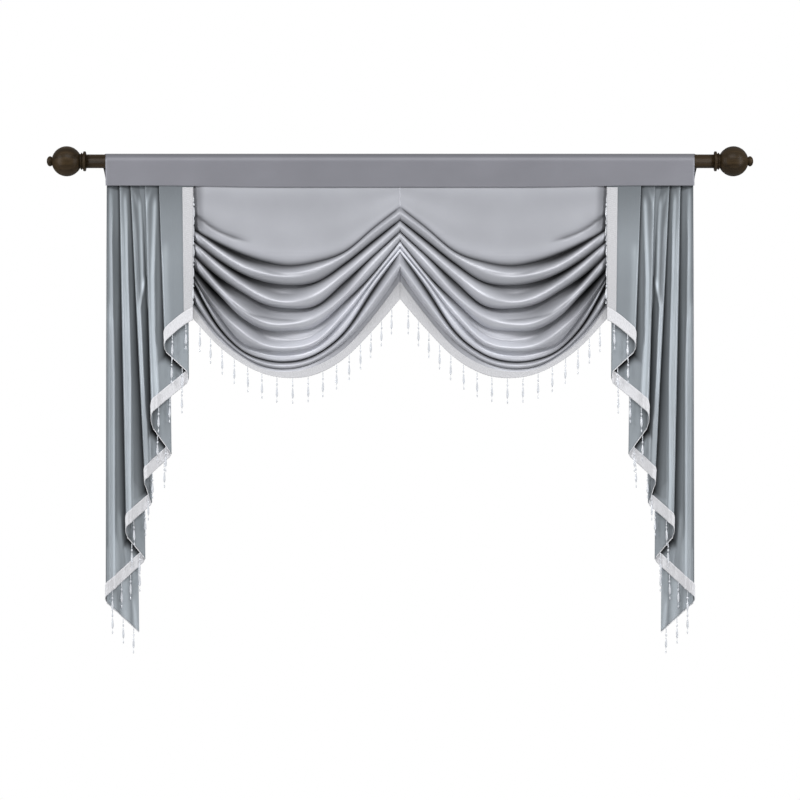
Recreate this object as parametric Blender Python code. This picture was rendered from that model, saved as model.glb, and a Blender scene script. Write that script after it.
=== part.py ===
"""Double swag valance with a cascade at each end, hung by its rod pocket on a wooden curtain rod.

Frame: metres, +Z up, origin on the rod's axis at the middle of its length. +X runs along the rod and
the room side faces -Y. Tables are in millimetres; out is a distance from the centre line, drop is a
distance below the rod's axis and depth is a place along Y. Each side piece is modelled once in out,
drop and depth, and placed on the left (side -1) or on the right (side 1).
"""

import math
from collections import namedtuple

import bmesh
import bpy
import numpy as np

MM = 0.001
SIDES = (("left", -1), ("right", 1))

# Rod and finials. The places along a finial are distances from the rod's end.
ROD_DIAMETER = 35.0
ROD_LENGTH = 1602.0
ROD_STEPS = 32
COLLAR_RADIUS = 25.5
COLLAR_LENGTH = 6.7
COLLAR_EDGE = 1.2
COVE_RADIUS = 19.5
COVE_AT = 8.5
RING_RADIUS = 21.8
RING_AT = 11.0
RING_HALF = 1.4
GROOVE_RADIUS = 18.8
GROOVE_AT = 15.5
BALL_RADIUS = 38.4
BUTTON_ROOT_RADIUS = 10.5
BUTTON_RADIUS = 13.1
BUTTON_REACH = 5.5
BUTTON_FLATNESS = 0.65
BUTTON_FROM = 110.0
BALL_ARC_STEPS = 8
BUTTON_ARC_STEPS = 4
FINIAL_STEPS = 20

# Header band: a flat loop of cloth whose pocket holds the rod
HEADER_WIDTH = 1500.0
HEADER_DROP = 66.0
HEADER_CLOTH = 1.5
SEAM_DROP = 60.5
LIP_FRONT = -13.6
LIP_SLANT = 0.5
SEAM_BACK = 10.4
POCKET_FLARE = 8.0
ROD_WRAP_STEPS = 10

# Cloth and braid
GAP = 0.3
BRAID_GAP = 0.7
SWAG_CLOTH = 1.2
TAIL_CLOTH = 1.0
BRAID_CLOTH = 1.0
CLOTH_TOP = SEAM_DROP + GAP

# Swag: drops of its fold lines at eight stations, from the gathered end to the centre seam.
# fill says how shallow the valley is: 0 is a full valley, 1 would be level with the crests.
SWAG_END = 530.6
CENTRE_GAP = 0.8
FOLD_FULLNESS = 0.5
VALLEY_DEPTH = -8.0
TUCK_FROM = 495.0
END_SETBACK = 8.0
END_FLATTENING = 0.4
SWAG_COLUMNS = 17
Station = namedtuple("Station", "edge tuck shoulder flank low lift rise centre")
SWAG_OUT = Station(527, 462, 408, 344, 286, 212, 140, 0)
Valley = namedtuple("Valley", "drops fill")
VALLEYS = (
    Valley(Station(173, 211, 235, 256, 266, 256, 229, 118), 0.1),
    Valley(Station(204, 252, 281, 307, 318, 309, 264, 149), 0.0),
    Valley(Station(244, 298, 331, 364, 378, 371, 306, 178), 0.0),
    Valley(Station(280, 341, 389, 428, 437, 422, 356, 200), 0.0),
    Valley(Station(295, 396, 446, 482, 490, 470, 396, 217), 0.5),
    Valley(Station(306, 423, 474, 507, 514, 491, 431, 236), 0.0),
    Valley(Station(362, 445, 489, 525, 532, 511, 459, 284), 0.5),
)
BRAID_TOP = Station(374, 455, 496, 531, 537, 521, 477, 306)
BRAID_EDGE = Station(402, 471, 512, 543, 553, 543, 502, 352)

# Where each row of a fold lies between two valleys, and how far forward it stands there
FoldRow = namedtuple("FoldRow", "phase forward")
PANEL_ROWS = (FoldRow(0.0, 0.0), FoldRow(0.35, 0.25), FoldRow(0.7, 0.7), FoldRow(0.9, 1.0))
FOLD_ROWS = (FoldRow(0.0, 0.0), FoldRow(0.3, 0.55), FoldRow(0.62, 1.0), FoldRow(0.88, 0.8))
PANEL_TOP_DEPTH = -10.2
PANEL_TOP_SETBACK = 5.6
PANEL_BULGE = 11.0
PANEL_HEIGHT = 190.0
BRAID_TOP_DEPTH = -16.0
BRAID_EDGE_DEPTH = -18.0
HEM_INSET = 2.0

# Tail: its creases from the leading edge to the back edge. The hem's drop and the cloth's depth are
# given on the two sides of each crease's fold. curl is the power by which the depth grows along the
# section that follows.
Crease = namedtuple("Crease", "out_top out_hem hem_before hem_after before after curl")
CREASES = (
    Crease(526.8, 526.8, 403, 403, -26, -26, 1.0),
    Crease(617, 602, 455, 488, -26, -19, 1.0),
    Crease(541, 538, 535, 563, -17, -9, 2.0),
    Crease(652, 636, 637, 684, -20, -13, 1.0),
    Crease(592, 583, 743, 757, -5, 3, 2.0),
    Crease(693, 653, 816, 841, -16, -9, 1.0),
    Crease(638, 633, 864, 875, -2, 6, 1.5),
    Crease(720, 703, 933, 966, -16, -9, 0.7),
    Crease(658, 651, 1007, 1020, 9, 17, 2.0),
    Crease(749, 751, 1109, 1130, -14, -7, 0.7),
    Crease(679, 667, 1201, 1201, 21, 21, 1.0),
)
FOLD_RADIUS = 3.5
TOP_SQUEEZE = 0.4
SQUEEZE_CENTRE = -1.0
SQUEEZE_END = 240.0
TAIL_ROW_DROPS = (CLOTH_TOP, 110.0, 160.0, SQUEEZE_END)
TAIL_HEM_ROWS = 4
FACE_STEPS = 4
RETURN_STEPS = 2
FOLD_SHARES = (0.3, 0.7)

# Braid and its bead strands
BRAID_WIDTH = 23.0
HEM_BRAID_HEIGHT = 36.0
BRAID_OVERLAP = 3.0
MITRE_RISE = 8.0
MITRE_FAN = 0.1
STRAND_PITCH = 36.0
STRAND_WIDTH = 2.4
SWAG_STRANDS = 16
SWAG_END_PITCH = 0.8
MEASURE_STEPS = 400
StrandRing = namedtuple("StrandRing", "drop half_width")
STRAND_RINGS = (StrandRing(5, 1.0), StrandRing(44, 1.0), StrandRing(55, 2.6), StrandRing(66, 0.7))


def clear_scene():
    """Removes whatever the new file holds."""
    for thing in list(bpy.data.objects):
        bpy.data.objects.remove(thing, do_unlink=True)


def material(name, colour, roughness, metallic=0.0):
    """A Principled material of one colour."""
    made = bpy.data.materials.new(name)
    made.use_nodes = True
    shader = made.node_tree.nodes["Principled BSDF"]
    shader.inputs["Base Color"].default_value = (*colour, 1.0)
    shader.inputs["Roughness"].default_value = roughness
    shader.inputs["Metallic"].default_value = metallic
    made.diffuse_color = (*colour, 1.0)
    return made


def add_object(name, mesh, finish, parent):
    """Links a mesh as a named object under the valance's empty."""
    mesh.materials.append(finish)
    thing = bpy.data.objects.new(name, mesh)
    bpy.context.scene.collection.objects.link(thing)
    thing.parent = parent
    return thing


def mesh_of(name, bm):
    """Turns a closed bmesh into a mesh whose faces point out."""
    bmesh.ops.recalc_face_normals(bm, faces=bm.faces)
    mesh = bpy.data.meshes.new(name)
    bm.to_mesh(mesh)
    bm.free()
    return mesh


def place(side, out, drop, depth):
    """World points in metres from out, drop and depth in millimetres."""
    out, drop, depth = np.broadcast_arrays(out, drop, depth)
    return np.stack((side * out, depth, -drop), axis=-1) * MM


def smoothstep(t):
    """0 up to t = 0, 1 from t = 1, and 3t^2 - 2t^3 between."""
    t = np.clip(t, 0.0, 1.0)
    return t * t * (3.0 - 2.0 * t)


def curve_through(stations, values, at):
    """Cubic Hermite curve through the values, with the slope at each station that its neighbours give."""
    order = np.argsort(stations)
    xs = np.asarray(stations, float)[order]
    ys = np.asarray(values, float)[order]
    slopes = np.gradient(ys, xs)
    i = np.clip(np.searchsorted(xs, at) - 1, 0, len(xs) - 2)
    h = xs[i + 1] - xs[i]
    t = (at - xs[i]) / h
    start = (1 + 2 * t) * (1 - t) ** 2 * ys[i] + t * (1 - t) ** 2 * h * slopes[i]
    end = t * t * (3 - 2 * t) * ys[i + 1] + t * t * (t - 1) * h * slopes[i + 1]
    return start + end


def sheet_object(name, points, thickness, finish, parent):
    """A grid of points (rows, columns, 3) as cloth of the given thickness, centred on the grid."""
    rows, columns = points.shape[:2]
    index = np.arange(rows * columns).reshape(rows, columns)
    quads = np.stack((index[:-1, :-1], index[:-1, 1:], index[1:, 1:], index[1:, :-1]), axis=-1)
    mesh = bpy.data.meshes.new(name)
    mesh.from_pydata(points.reshape(-1, 3).tolist(), [], quads.reshape(-1, 4).tolist())
    mesh.shade_smooth()
    thing = add_object(name, mesh, finish, parent)
    shell = thing.modifiers.new("cloth thickness", "SOLIDIFY")
    shell.thickness = thickness * MM
    shell.offset = 0.0
    return thing


def make_rod(finish, parent):
    """The pole, a cylinder along X."""
    bm = bmesh.new()
    bmesh.ops.create_cone(
        bm, cap_ends=True, segments=ROD_STEPS, radius1=ROD_DIAMETER / 2 * MM,
        radius2=ROD_DIAMETER / 2 * MM, depth=ROD_LENGTH * MM)
    rod = add_object("rod", mesh_of("rod", bm), finish, parent)
    rod.rotation_euler = (0.0, math.radians(90.0), 0.0)
    return rod


def arc(centre, radius, start, end, steps):
    """Points (along, radius) on a circle round a point of the turning axis, angles in degrees."""
    angles = np.radians(np.linspace(start, end, steps + 1))
    return [(centre + radius * math.cos(a), radius * math.sin(a)) for a in angles]


def finial_profile():
    """Half outline of a finial, as (distance from the rod's end, radius), from axis to axis."""
    ball_at = GROOVE_AT + math.sqrt(BALL_RADIUS**2 - GROOVE_RADIUS**2)
    button_at = ball_at + math.sqrt(BALL_RADIUS**2 - BUTTON_ROOT_RADIUS**2) + BUTTON_REACH
    ball_from = 180.0 - math.degrees(math.asin(GROOVE_RADIUS / BALL_RADIUS))
    ball_to = math.degrees(math.asin(BUTTON_ROOT_RADIUS / BALL_RADIUS))
    collar = [
        (GAP, 0.0),
        (GAP, COLLAR_RADIUS - COLLAR_EDGE),
        (GAP + COLLAR_EDGE, COLLAR_RADIUS),
        (COLLAR_LENGTH - COLLAR_EDGE, COLLAR_RADIUS),
        (COLLAR_LENGTH, COLLAR_RADIUS - COLLAR_EDGE),
        (COVE_AT, COVE_RADIUS),
    ]
    ring_side = RING_RADIUS - RING_HALF / 2
    ring = [(RING_AT - RING_HALF, ring_side), (RING_AT, RING_RADIUS), (RING_AT + RING_HALF, ring_side)]
    ball = arc(ball_at, BALL_RADIUS, ball_from, ball_to, BALL_ARC_STEPS)
    button = arc(button_at, BUTTON_RADIUS, BUTTON_FROM, 0.0, BUTTON_ARC_STEPS)
    button = [(button_at + (along - button_at) * BUTTON_FLATNESS, radius) for along, radius in button]
    return collar + ring + ball + button


def make_finial(name, side, finish, parent):
    """A turned finial at one end of the rod: its half outline spun round the X axis."""
    bm = bmesh.new()
    points = [(side * (ROD_LENGTH / 2 + along) * MM, 0.0, radius * MM) for along, radius in finial_profile()]
    ring = [bm.verts.new(point) for point in points]
    wire = [bm.edges.new(pair) for pair in zip(ring, ring[1:])]
    bmesh.ops.spin(bm, geom=ring + wire, cent=(0, 0, 0), axis=(1, 0, 0), dvec=(0, 0, 0),
                   angle=math.tau, steps=FINIAL_STEPS, use_merge=True)
    bmesh.ops.remove_doubles(bm, verts=bm.verts, dist=1e-6)
    return add_object(name, mesh_of(name, bm), finish, parent)


def header_section():
    """The band's cross-section as (depth, height) points and the faces that fill it.

    A ring of quads runs up the front, over the rod, down the back and along the floor of the pocket,
    where the seam is. The front layer ends in a lip that hangs past the seam.
    """
    inner_radius = ROD_DIAMETER / 2 + GAP
    outer_radius = inner_radius + HEADER_CLOTH
    floor_top = -(SEAM_DROP - HEADER_CLOTH)
    floor_low = -SEAM_DROP
    front = LIP_FRONT - LIP_SLANT
    outer = [(front, floor_low)]
    inner = [(front + HEADER_CLOTH, floor_top)]
    for angle in np.radians(np.linspace(180.0, 0.0, ROD_WRAP_STEPS + 1)):
        outer.append((outer_radius * math.cos(angle), outer_radius * math.sin(angle)))
        inner.append((inner_radius * math.cos(angle), inner_radius * math.sin(angle)))
    outer.append((SEAM_BACK, floor_low))
    inner.append((SEAM_BACK - HEADER_CLOTH, floor_top))
    count = len(outer)
    points = outer + inner
    faces = [(i, i + 1, count + i + 1, count + i) for i in range(count - 1)]
    lip_top = len(points)
    points += [
        (front + HEADER_CLOTH, floor_low),
        (LIP_FRONT + HEADER_CLOTH, -HEADER_DROP),
        (LIP_FRONT, -HEADER_DROP),
    ]
    faces += [
        (count, 0, lip_top),
        (count - 1, 2 * count - 1, count, lip_top),
        (0, lip_top, lip_top + 1, lip_top + 2),
    ]
    return points, faces


def header_half_width(depth, height):
    """Half the band's width at a point of its section: the back layer is a little wider at the rod."""
    reach = ROD_DIAMETER / 2 + GAP + HEADER_CLOTH
    backwards = min(max((depth + reach) / (2 * reach), 0.0), 1.0)
    upwards = min(max((height + SEAM_DROP) / SEAM_DROP, 0.0), 1.0)
    return HEADER_WIDTH / 2 + POCKET_FLARE * backwards * upwards


def make_header(finish, parent):
    """The header band: its section carried from end to end of the pocket."""
    points, faces = header_section()
    bm = bmesh.new()
    ends = []
    for side in (-1, 1):
        ends.append([
            bm.verts.new((side * header_half_width(y, z) * MM, y * MM, z * MM)) for y, z in points])
    edge_uses = {}
    for face in faces:
        for end in ends:
            bm.faces.new([end[i] for i in face])
        for pair in zip(face, face[1:] + face[:1]):
            key = tuple(sorted(pair))
            edge_uses[key] = edge_uses.get(key, 0) + 1
    for (a, b), uses in edge_uses.items():
        if uses == 1:
            bm.faces.new((ends[0][a], ends[0][b], ends[1][b], ends[1][a]))
    return add_object("header_band", mesh_of("header_band", bm), finish, parent)


def swag_line(drops, out):
    """Drop of one fold line at the given distances from the centre."""
    return curve_through(SWAG_OUT, drops, out)


def end_share(out):
    """0 over most of the swag, rising to 1 at its gathered end, which tucks behind the tail's edge."""
    return np.clip((out - TUCK_FROM) / (SWAG_END - TUCK_FROM), 0.0, 1.0) ** 2


def swag_rows(out):
    """Drops and depths of the swag's rows at each distance from the centre, from the seam to the hem.

    Above each valley the cloth stands forward in a soft bulge. Between two valleys it comes forward
    over most of the way and turns back under itself just above the next one.
    """
    base = VALLEY_DEPTH + END_SETBACK * end_share(out)
    lines = [swag_line(valley.drops, out) for valley in VALLEYS]
    lines.append(swag_line(BRAID_TOP, out))
    flatter = FOLD_FULLNESS * (1 - END_FLATTENING * end_share(out))
    fullness = [flatter * (low - high) for high, low in zip(lines, lines[1:])]
    valleys = [base - valley.fill * full for valley, full in zip(VALLEYS, fullness)]
    drops, depths = [], []
    panel_top = PANEL_TOP_DEPTH + PANEL_TOP_SETBACK * end_share(out)
    bulge = PANEL_BULGE * (1 - end_share(out)) * np.clip((lines[0] - CLOTH_TOP) / PANEL_HEIGHT, 0.0, 1.0)
    for row in PANEL_ROWS:
        drops.append(CLOTH_TOP + (lines[0] - CLOTH_TOP) * row.phase)
        level = panel_top + (valleys[0] - panel_top) * row.phase
        depths.append(level - bulge * row.forward)
    for high, low, full, near, far in zip(lines, lines[1:], fullness, valleys, valleys[1:]):
        for row in FOLD_ROWS:
            drops.append(high + (low - high) * row.phase)
            depths.append(near + (far - near) * row.phase - full * row.forward)
    drops += [lines[-2], lines[-1], swag_line(BRAID_EDGE, out) - HEM_INSET]
    depths += [valleys[-1], np.full_like(out, BRAID_TOP_DEPTH), np.full_like(out, BRAID_EDGE_DEPTH)]
    return np.array(drops), np.array(depths)


def make_swag(name, side, finish, parent):
    """One gathered swag, from the header's seam to its scalloped hem."""
    out = np.linspace(SWAG_END, CENTRE_GAP, SWAG_COLUMNS)
    drops, depths = swag_rows(out)
    return sheet_object(name, place(side, out, drops, depths), SWAG_CLOTH, finish, parent)


def braid_object(name, inner, outer, strand_columns, finish, parent):
    """A strip of braid with bead strands hanging from its outer edge, as one closed body.

    inner and outer hold (columns, 2, 3): the front and back point of each edge. A strand grows from
    the narrow edge face after each column that strand_columns names.
    """
    bm = bmesh.new()
    inner = [[bm.verts.new(point) for point in pair] for pair in inner]
    outer = [[bm.verts.new(point) for point in pair] for pair in outer]
    bm.faces.new((*inner[0], *outer[0][::-1]))
    bm.faces.new((*inner[-1], *outer[-1][::-1]))
    for i in range(len(inner) - 1):
        (a_front, a_back), (b_front, b_back) = inner[i], inner[i + 1]
        (c_front, c_back), (d_front, d_back) = outer[i], outer[i + 1]
        bm.faces.new((a_front, b_front, d_front, c_front))
        bm.faces.new((a_back, b_back, d_back, c_back))
        bm.faces.new((a_front, b_front, b_back, a_back))
        root = (c_front, d_front, d_back, c_back)
        if i in strand_columns:
            add_strand(bm, root)
        else:
            bm.faces.new(root)
    return add_object(name, mesh_of(name, bm), finish, parent)


def add_strand(bm, root):
    """A four-sided bead strand that hangs straight down from the four corners of its root."""
    corners = np.array([vert.co for vert in root])
    centre = corners.mean(axis=0)
    towards = np.sign(corners - centre)
    ring = root
    for level in STRAND_RINGS:
        points = centre + towards * level.half_width * MM
        points[:, 2] = corners[:, 2].min() - level.drop * MM
        low = [bm.verts.new(point) for point in points]
        for i in range(4):
            bm.faces.new((ring[i - 1], ring[i], low[i], low[i - 1]))
        ring = low
    bm.faces.new(ring)


def make_swag_trim(name, side, finish, parent):
    """The braid along a swag's hem, with strands at equal steps along its edge."""
    fine = np.linspace(SWAG_END, CENTRE_GAP, MEASURE_STEPS)
    lengths = np.hypot(np.diff(fine), np.diff(swag_line(BRAID_EDGE, fine)))
    along = np.concatenate(([0.0], np.cumsum(lengths)))
    places = along[-1] * (np.arange(SWAG_STRANDS) + SWAG_END_PITCH) / (SWAG_STRANDS - 1 + 2 * SWAG_END_PITCH)
    pairs = np.stack((places - STRAND_WIDTH / 2, places + STRAND_WIDTH / 2), axis=1).ravel()
    out = np.interp(np.concatenate(([0.0], pairs, [along[-1]])), along, fine)
    back = SWAG_CLOTH / 2 + BRAID_GAP
    edges = []
    for line, depth in ((BRAID_TOP, BRAID_TOP_DEPTH), (BRAID_EDGE, BRAID_EDGE_DEPTH)):
        drops = swag_line(line, out)
        layers = [place(side, out, drops, depth - offset) for offset in (back + BRAID_CLOTH, back)]
        edges.append(np.stack(layers, axis=1))
    strands = set(range(1, 2 * SWAG_STRANDS, 2))
    return braid_object(name, edges[0], edges[1], strands, finish, parent)


def crease_out(crease, drop):
    """Distance from the centre of a crease at a drop: it leans evenly from the header to the hem."""
    share = (drop - CLOTH_TOP) / (crease.hem_after - CLOTH_TOP)
    return crease.out_top + (crease.out_hem - crease.out_top) * share


def squeeze(drop):
    """How much of its full depth the tail has at a drop: it is gathered flat under the header."""
    return TOP_SQUEEZE + (1 - TOP_SQUEEZE) * smoothstep((drop - HEADER_DROP) / (SQUEEZE_END - HEADER_DROP))


def tail_path(section, share, drop):
    """Out and depth at a share along one section of the tail, at a drop.

    Whole sections are the five faces and five returns between creases, inset by the fold's radius. A
    section with a half added, such as 0.5, is the half-round fold after that section.
    """
    grown = squeeze(drop)
    radius = FOLD_RADIUS * grown
    i = int(section)
    start, end = CREASES[i], CREASES[i + 1]
    outward = 1 if i % 2 == 0 else -1
    end_inset = radius if i < len(CREASES) - 2 else 0.0
    end_out = crease_out(end, drop) - outward * end_inset
    if section != i:
        angle = math.pi * share
        out = end_out + outward * radius * math.sin(angle)
        depth = (end.before + end.after) / 2 - (end.after - end.before) / 2 * math.cos(angle)
    else:
        start_inset = radius if i > 0 else 0.0
        start_out = crease_out(start, drop) + outward * start_inset
        out = start_out + (end_out - start_out) * share
        depth = start.after + (end.before - start.after) * share**start.curl
    return out, SQUEEZE_CENTRE + (depth - SQUEEZE_CENTRE) * grown


def tail_point(section, share, drop, offset=0.0):
    """Out, drop and depth of a point of the tail, moved by offset towards the cloth's right side."""
    out, depth = tail_path(section, share, drop)
    step = 0.01
    low, high = max(share - step, 0.0), min(share + step, 1.0)
    out_low, depth_low = tail_path(section, low, drop)
    out_high, depth_high = tail_path(section, high, drop)
    along = np.array((out_high - out_low, depth_high - depth_low))
    along /= np.linalg.norm(along)
    return out + along[1] * offset, drop, depth - along[0] * offset


def hem_drop(section, share):
    """Drop of the hem: a straight slant along a section, and a steeper one round the fold after it."""
    i = int(section)
    if section != i:
        start, end = CREASES[i + 1].hem_before, CREASES[i + 1].hem_after
    else:
        start, end = CREASES[i].hem_after, CREASES[i + 1].hem_before
    return start + (end - start) * share


def tail_columns():
    """The sections and shares of the tail's columns, from the leading edge to the back edge."""
    columns = []
    for i in range(len(CREASES) - 1):
        steps = FACE_STEPS if i % 2 == 0 else RETURN_STEPS
        columns += [(i, share) for share in np.linspace(0.0, 1.0, steps + 1)]
        if i < len(CREASES) - 2:
            columns += [(i + 0.5, share) for share in FOLD_SHARES]
    return columns


def make_tail(name, side, finish, parent):
    """One cascade: a length of cloth folded back and forth, its hem cut on the slant."""
    columns = []
    for section, share in tail_columns():
        hem = hem_drop(section, share)
        lower = np.linspace(SQUEEZE_END, hem, TAIL_HEM_ROWS + 1)[1:]
        column = [tail_point(section, share, drop) for drop in (*TAIL_ROW_DROPS, *lower)]
        columns.append([place(side, *point) for point in column])
    return sheet_object(name, np.array(columns).transpose(1, 0, 2), TAIL_CLOTH, finish, parent)


def section_length(i):
    """Length of the hem along one section."""
    start, end = CREASES[i], CREASES[i + 1]
    return math.hypot(end.out_hem - start.out_hem, end.hem_before - start.hem_after)


def make_tail_trim(name, side, finish, parent):
    """The braid down a tail's leading edge and along its hem, with bead strands along the hem."""
    corner = BRAID_WIDTH / section_width(0)
    inner, outer, strands = [], [], set()
    for drop in (HEADER_DROP + 1.0, *TAIL_ROW_DROPS[1:], hem_drop(0, 0.0) - MITRE_RISE):
        inner.append((0, corner, drop))
        outer.append((0, 0.0, drop))
    inner.append((0, corner, hem_drop(0, corner) - HEM_BRAID_HEIGHT))
    outer.append((0, 0.0, hem_drop(0, 0.0) + BRAID_OVERLAP))
    for i in range(len(CREASES) - 1):
        count = max(round(section_length(i) / STRAND_PITCH), 1)
        half = STRAND_WIDTH / 2 / section_width(i)
        places = (np.arange(count) + 0.5) / count
        shares = np.stack((places - half, places + half), axis=1).ravel()
        for share in (*shares, 1.0):
            inner_share = max(share, corner + MITRE_FAN * (share + 0.1)) if i == 0 else share
            if share in places - half:
                strands.add(len(outer))
            inner.append((i, inner_share, hem_drop(i, inner_share) - HEM_BRAID_HEIGHT))
            outer.append((i, share, hem_drop(i, share) + BRAID_OVERLAP))
        if i < len(CREASES) - 2:
            turn = [(i + 0.5, share) for share in FOLD_SHARES] + [(i + 1, 0.0)]
            inner += [(*at, hem_drop(*at) - HEM_BRAID_HEIGHT) for at in turn]
            outer += [(*at, hem_drop(*at) + BRAID_OVERLAP) for at in turn]
    back = TAIL_CLOTH / 2 + BRAID_GAP
    layers = (back + BRAID_CLOTH, back)
    inner, outer = (
        [[place(side, *tail_point(*point, offset)) for offset in layers] for point in line]
        for line in (inner, outer))
    return braid_object(name, inner, outer, strands, finish, parent)


def section_width(i):
    """Distance between the two creases of a section at the hem."""
    return abs(CREASES[i + 1].out_hem - CREASES[i].out_hem)


def build():
    """Makes every piece of the valance."""
    clear_scene()
    satin = material("grey satin", (0.33, 0.34, 0.37), 0.35)
    band = material("grey header satin", (0.24, 0.24, 0.27), 0.45)
    braid = material("silver white braid", (0.72, 0.73, 0.73), 0.6)
    wood = material("dark brown wood", (0.045, 0.03, 0.02), 0.4)
    valance = bpy.data.objects.new("valance", None)
    bpy.context.scene.collection.objects.link(valance)
    make_rod(wood, valance)
    make_header(band, valance)
    for word, side in SIDES:
        make_finial(f"finial_{word}", side, wood, valance)
        make_swag(f"swag_{word}", side, satin, valance)
        make_swag_trim(f"swag_trim_{word}", side, braid, valance)
        make_tail(f"tail_{word}", side, satin, valance)
        make_tail_trim(f"tail_trim_{word}", side, braid, valance)


build()
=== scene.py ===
"""A double swag valance with a cascade at each end, hung by its rod pocket on a dark wooden pole.

Metres, +Z up, the origin on the pole's axis at its middle and the room on the -Y side. The tables are
in millimetres: out is a distance from the centre line, drop is a distance below the pole's axis and
depth is a place along Y, with the front negative.
"""

import math

import bpy
import numpy as np
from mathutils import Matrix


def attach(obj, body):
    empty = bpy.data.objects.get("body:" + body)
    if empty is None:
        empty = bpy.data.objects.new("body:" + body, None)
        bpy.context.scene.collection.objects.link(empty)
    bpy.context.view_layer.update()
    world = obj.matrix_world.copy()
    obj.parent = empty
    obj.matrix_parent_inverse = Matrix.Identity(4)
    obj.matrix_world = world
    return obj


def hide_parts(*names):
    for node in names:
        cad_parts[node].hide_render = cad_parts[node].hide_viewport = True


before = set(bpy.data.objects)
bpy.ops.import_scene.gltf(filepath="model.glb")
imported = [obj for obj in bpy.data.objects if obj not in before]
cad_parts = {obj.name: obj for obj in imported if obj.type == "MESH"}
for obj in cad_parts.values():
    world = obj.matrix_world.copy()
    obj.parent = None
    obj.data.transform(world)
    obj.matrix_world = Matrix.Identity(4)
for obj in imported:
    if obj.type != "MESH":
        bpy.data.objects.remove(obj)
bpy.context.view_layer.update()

# The room: the camera straight in front of the valance, one large soft lamp above it, a weaker one to
# each side, light from a pale room all round, and a pale floor.

CAMERA_DISTANCE = 9.0
PICTURE_CENTRE_HEIGHT = -0.609
PICTURE_WIDTH = 2.041
SENSOR = 36.0
# Each lamp's place, the point that it faces, its width and height, its power and its colour
LAMPS = {
    "lamp above": ((0.0, -2.9, 2.2), (0.0, 0.0, -0.35), 3.0, 1.0, 98.0, (1.0, 1.0, 1.0)),
    "lamp left": ((-2.3, -1.1, 0.0), (-0.5, 0.0, -0.6), 0.6, 2.0, 36.0, (0.97, 0.98, 1.0)),
    "lamp right": ((2.3, -1.1, 0.0), (0.5, 0.0, -0.6), 0.6, 2.0, 36.0, (0.97, 0.98, 1.0)),
}
# The room's greys, from straight below (0) to straight above (1)
ROOM_TONES = ((0.0, 0.10), (0.42, 0.24), (0.52, 0.46), (0.70, 0.72), (1.0, 0.95))
ROOM_STRENGTH = 0.62
FLOOR_HEIGHT = -2.2
FLOOR_RADIUS = 4.3
FLOOR_SIDES = 64
FLOOR_COLOUR = (0.80, 0.80, 0.79, 1.0)

camera_data = bpy.data.cameras.new("camera")
camera_data.sensor_width = SENSOR
camera_data.lens = SENSOR * CAMERA_DISTANCE / PICTURE_WIDTH
camera = bpy.data.objects.new("camera", camera_data)
camera.location = (0.0, -CAMERA_DISTANCE, PICTURE_CENTRE_HEIGHT)
camera.rotation_euler = (math.radians(90.0), 0.0, 0.0)
bpy.context.scene.collection.objects.link(camera)
bpy.context.scene.camera = camera
bpy.context.scene.view_settings.view_transform = "Standard"


def add_lamp(name, place_at, aim, width, height, power, colour):
    """A rectangular lamp at a point, turned to face another point."""
    data = bpy.data.lights.new(name, "AREA")
    data.shape = "RECTANGLE"
    data.size, data.size_y = width, height
    data.energy = power
    data.color = colour
    lamp = bpy.data.objects.new(name, data)
    lamp.location = place_at
    towards = np.subtract(aim, place_at)
    lamp.rotation_euler = (
        math.acos(-towards[2] / np.linalg.norm(towards)), 0.0, math.atan2(towards[0], -towards[1]) + math.pi)
    bpy.context.scene.collection.objects.link(lamp)


def add_node(tree, kind, sockets=None, **settings):
    """A shader node with the given input values, or with another node's output linked to an input."""
    made = tree.nodes.new(kind)
    for name, value in settings.items():
        setattr(made, name, value)
    for name, value in (sockets or {}).items():
        if isinstance(value, bpy.types.NodeSocket):
            tree.links.new(value, made.inputs[name])
        else:
            made.inputs[name].default_value = value
    return made


def set_ramp(node, stops):
    """Fills a colour ramp with (place, grey or colour) stops."""
    elements = node.color_ramp.elements
    while len(elements) > 1:
        elements.remove(elements[-1])
    for i, (at, colour) in enumerate(stops):
        element = elements[0] if i == 0 else elements.new(at)
        element.position = at
        element.color = (*((colour,) * 3 if np.isscalar(colour) else colour), 1.0)


for name, lamp in LAMPS.items():
    add_lamp(name, *lamp)

world = bpy.data.worlds.new("pale room")
bpy.context.scene.world = world
world.use_nodes = True
tree = world.node_tree
tree.nodes.clear()
way = add_node(tree, "ShaderNodeTexCoord")
split = add_node(tree, "ShaderNodeSeparateXYZ", {"Vector": way.outputs["Generated"]})
height = add_node(tree, "ShaderNodeMapRange", {
    "Value": split.outputs["Z"], "From Min": -1.0, "From Max": 1.0})
ramp = add_node(tree, "ShaderNodeValToRGB", {"Fac": height.outputs["Result"]})
set_ramp(ramp, ROOM_TONES)
room = add_node(tree, "ShaderNodeBackground", {"Color": ramp.outputs["Color"], "Strength": ROOM_STRENGTH})
white = add_node(tree, "ShaderNodeBackground", {"Color": (1.0, 1.0, 1.0, 1.0), "Strength": 1.0})
rays = add_node(tree, "ShaderNodeLightPath")
either = add_node(tree, "ShaderNodeMixShader", {
    0: rays.outputs["Is Camera Ray"], 1: room.outputs["Background"], 2: white.outputs["Background"]})
add_node(tree, "ShaderNodeOutputWorld", {"Surface": either.outputs["Shader"]})


def new_material(name):
    """An empty material, its node tree and the shader in it."""
    made = bpy.data.materials.new(name)
    made.use_nodes = True
    return made, made.node_tree, made.node_tree.nodes["Principled BSDF"]


def set_shader(shader, **values):
    """Puts numbers and colours on the shader's own sockets, whose names have spaces for underscores."""
    for name, value in values.items():
        shader.inputs[name.replace("_", " ")].default_value = value


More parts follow.
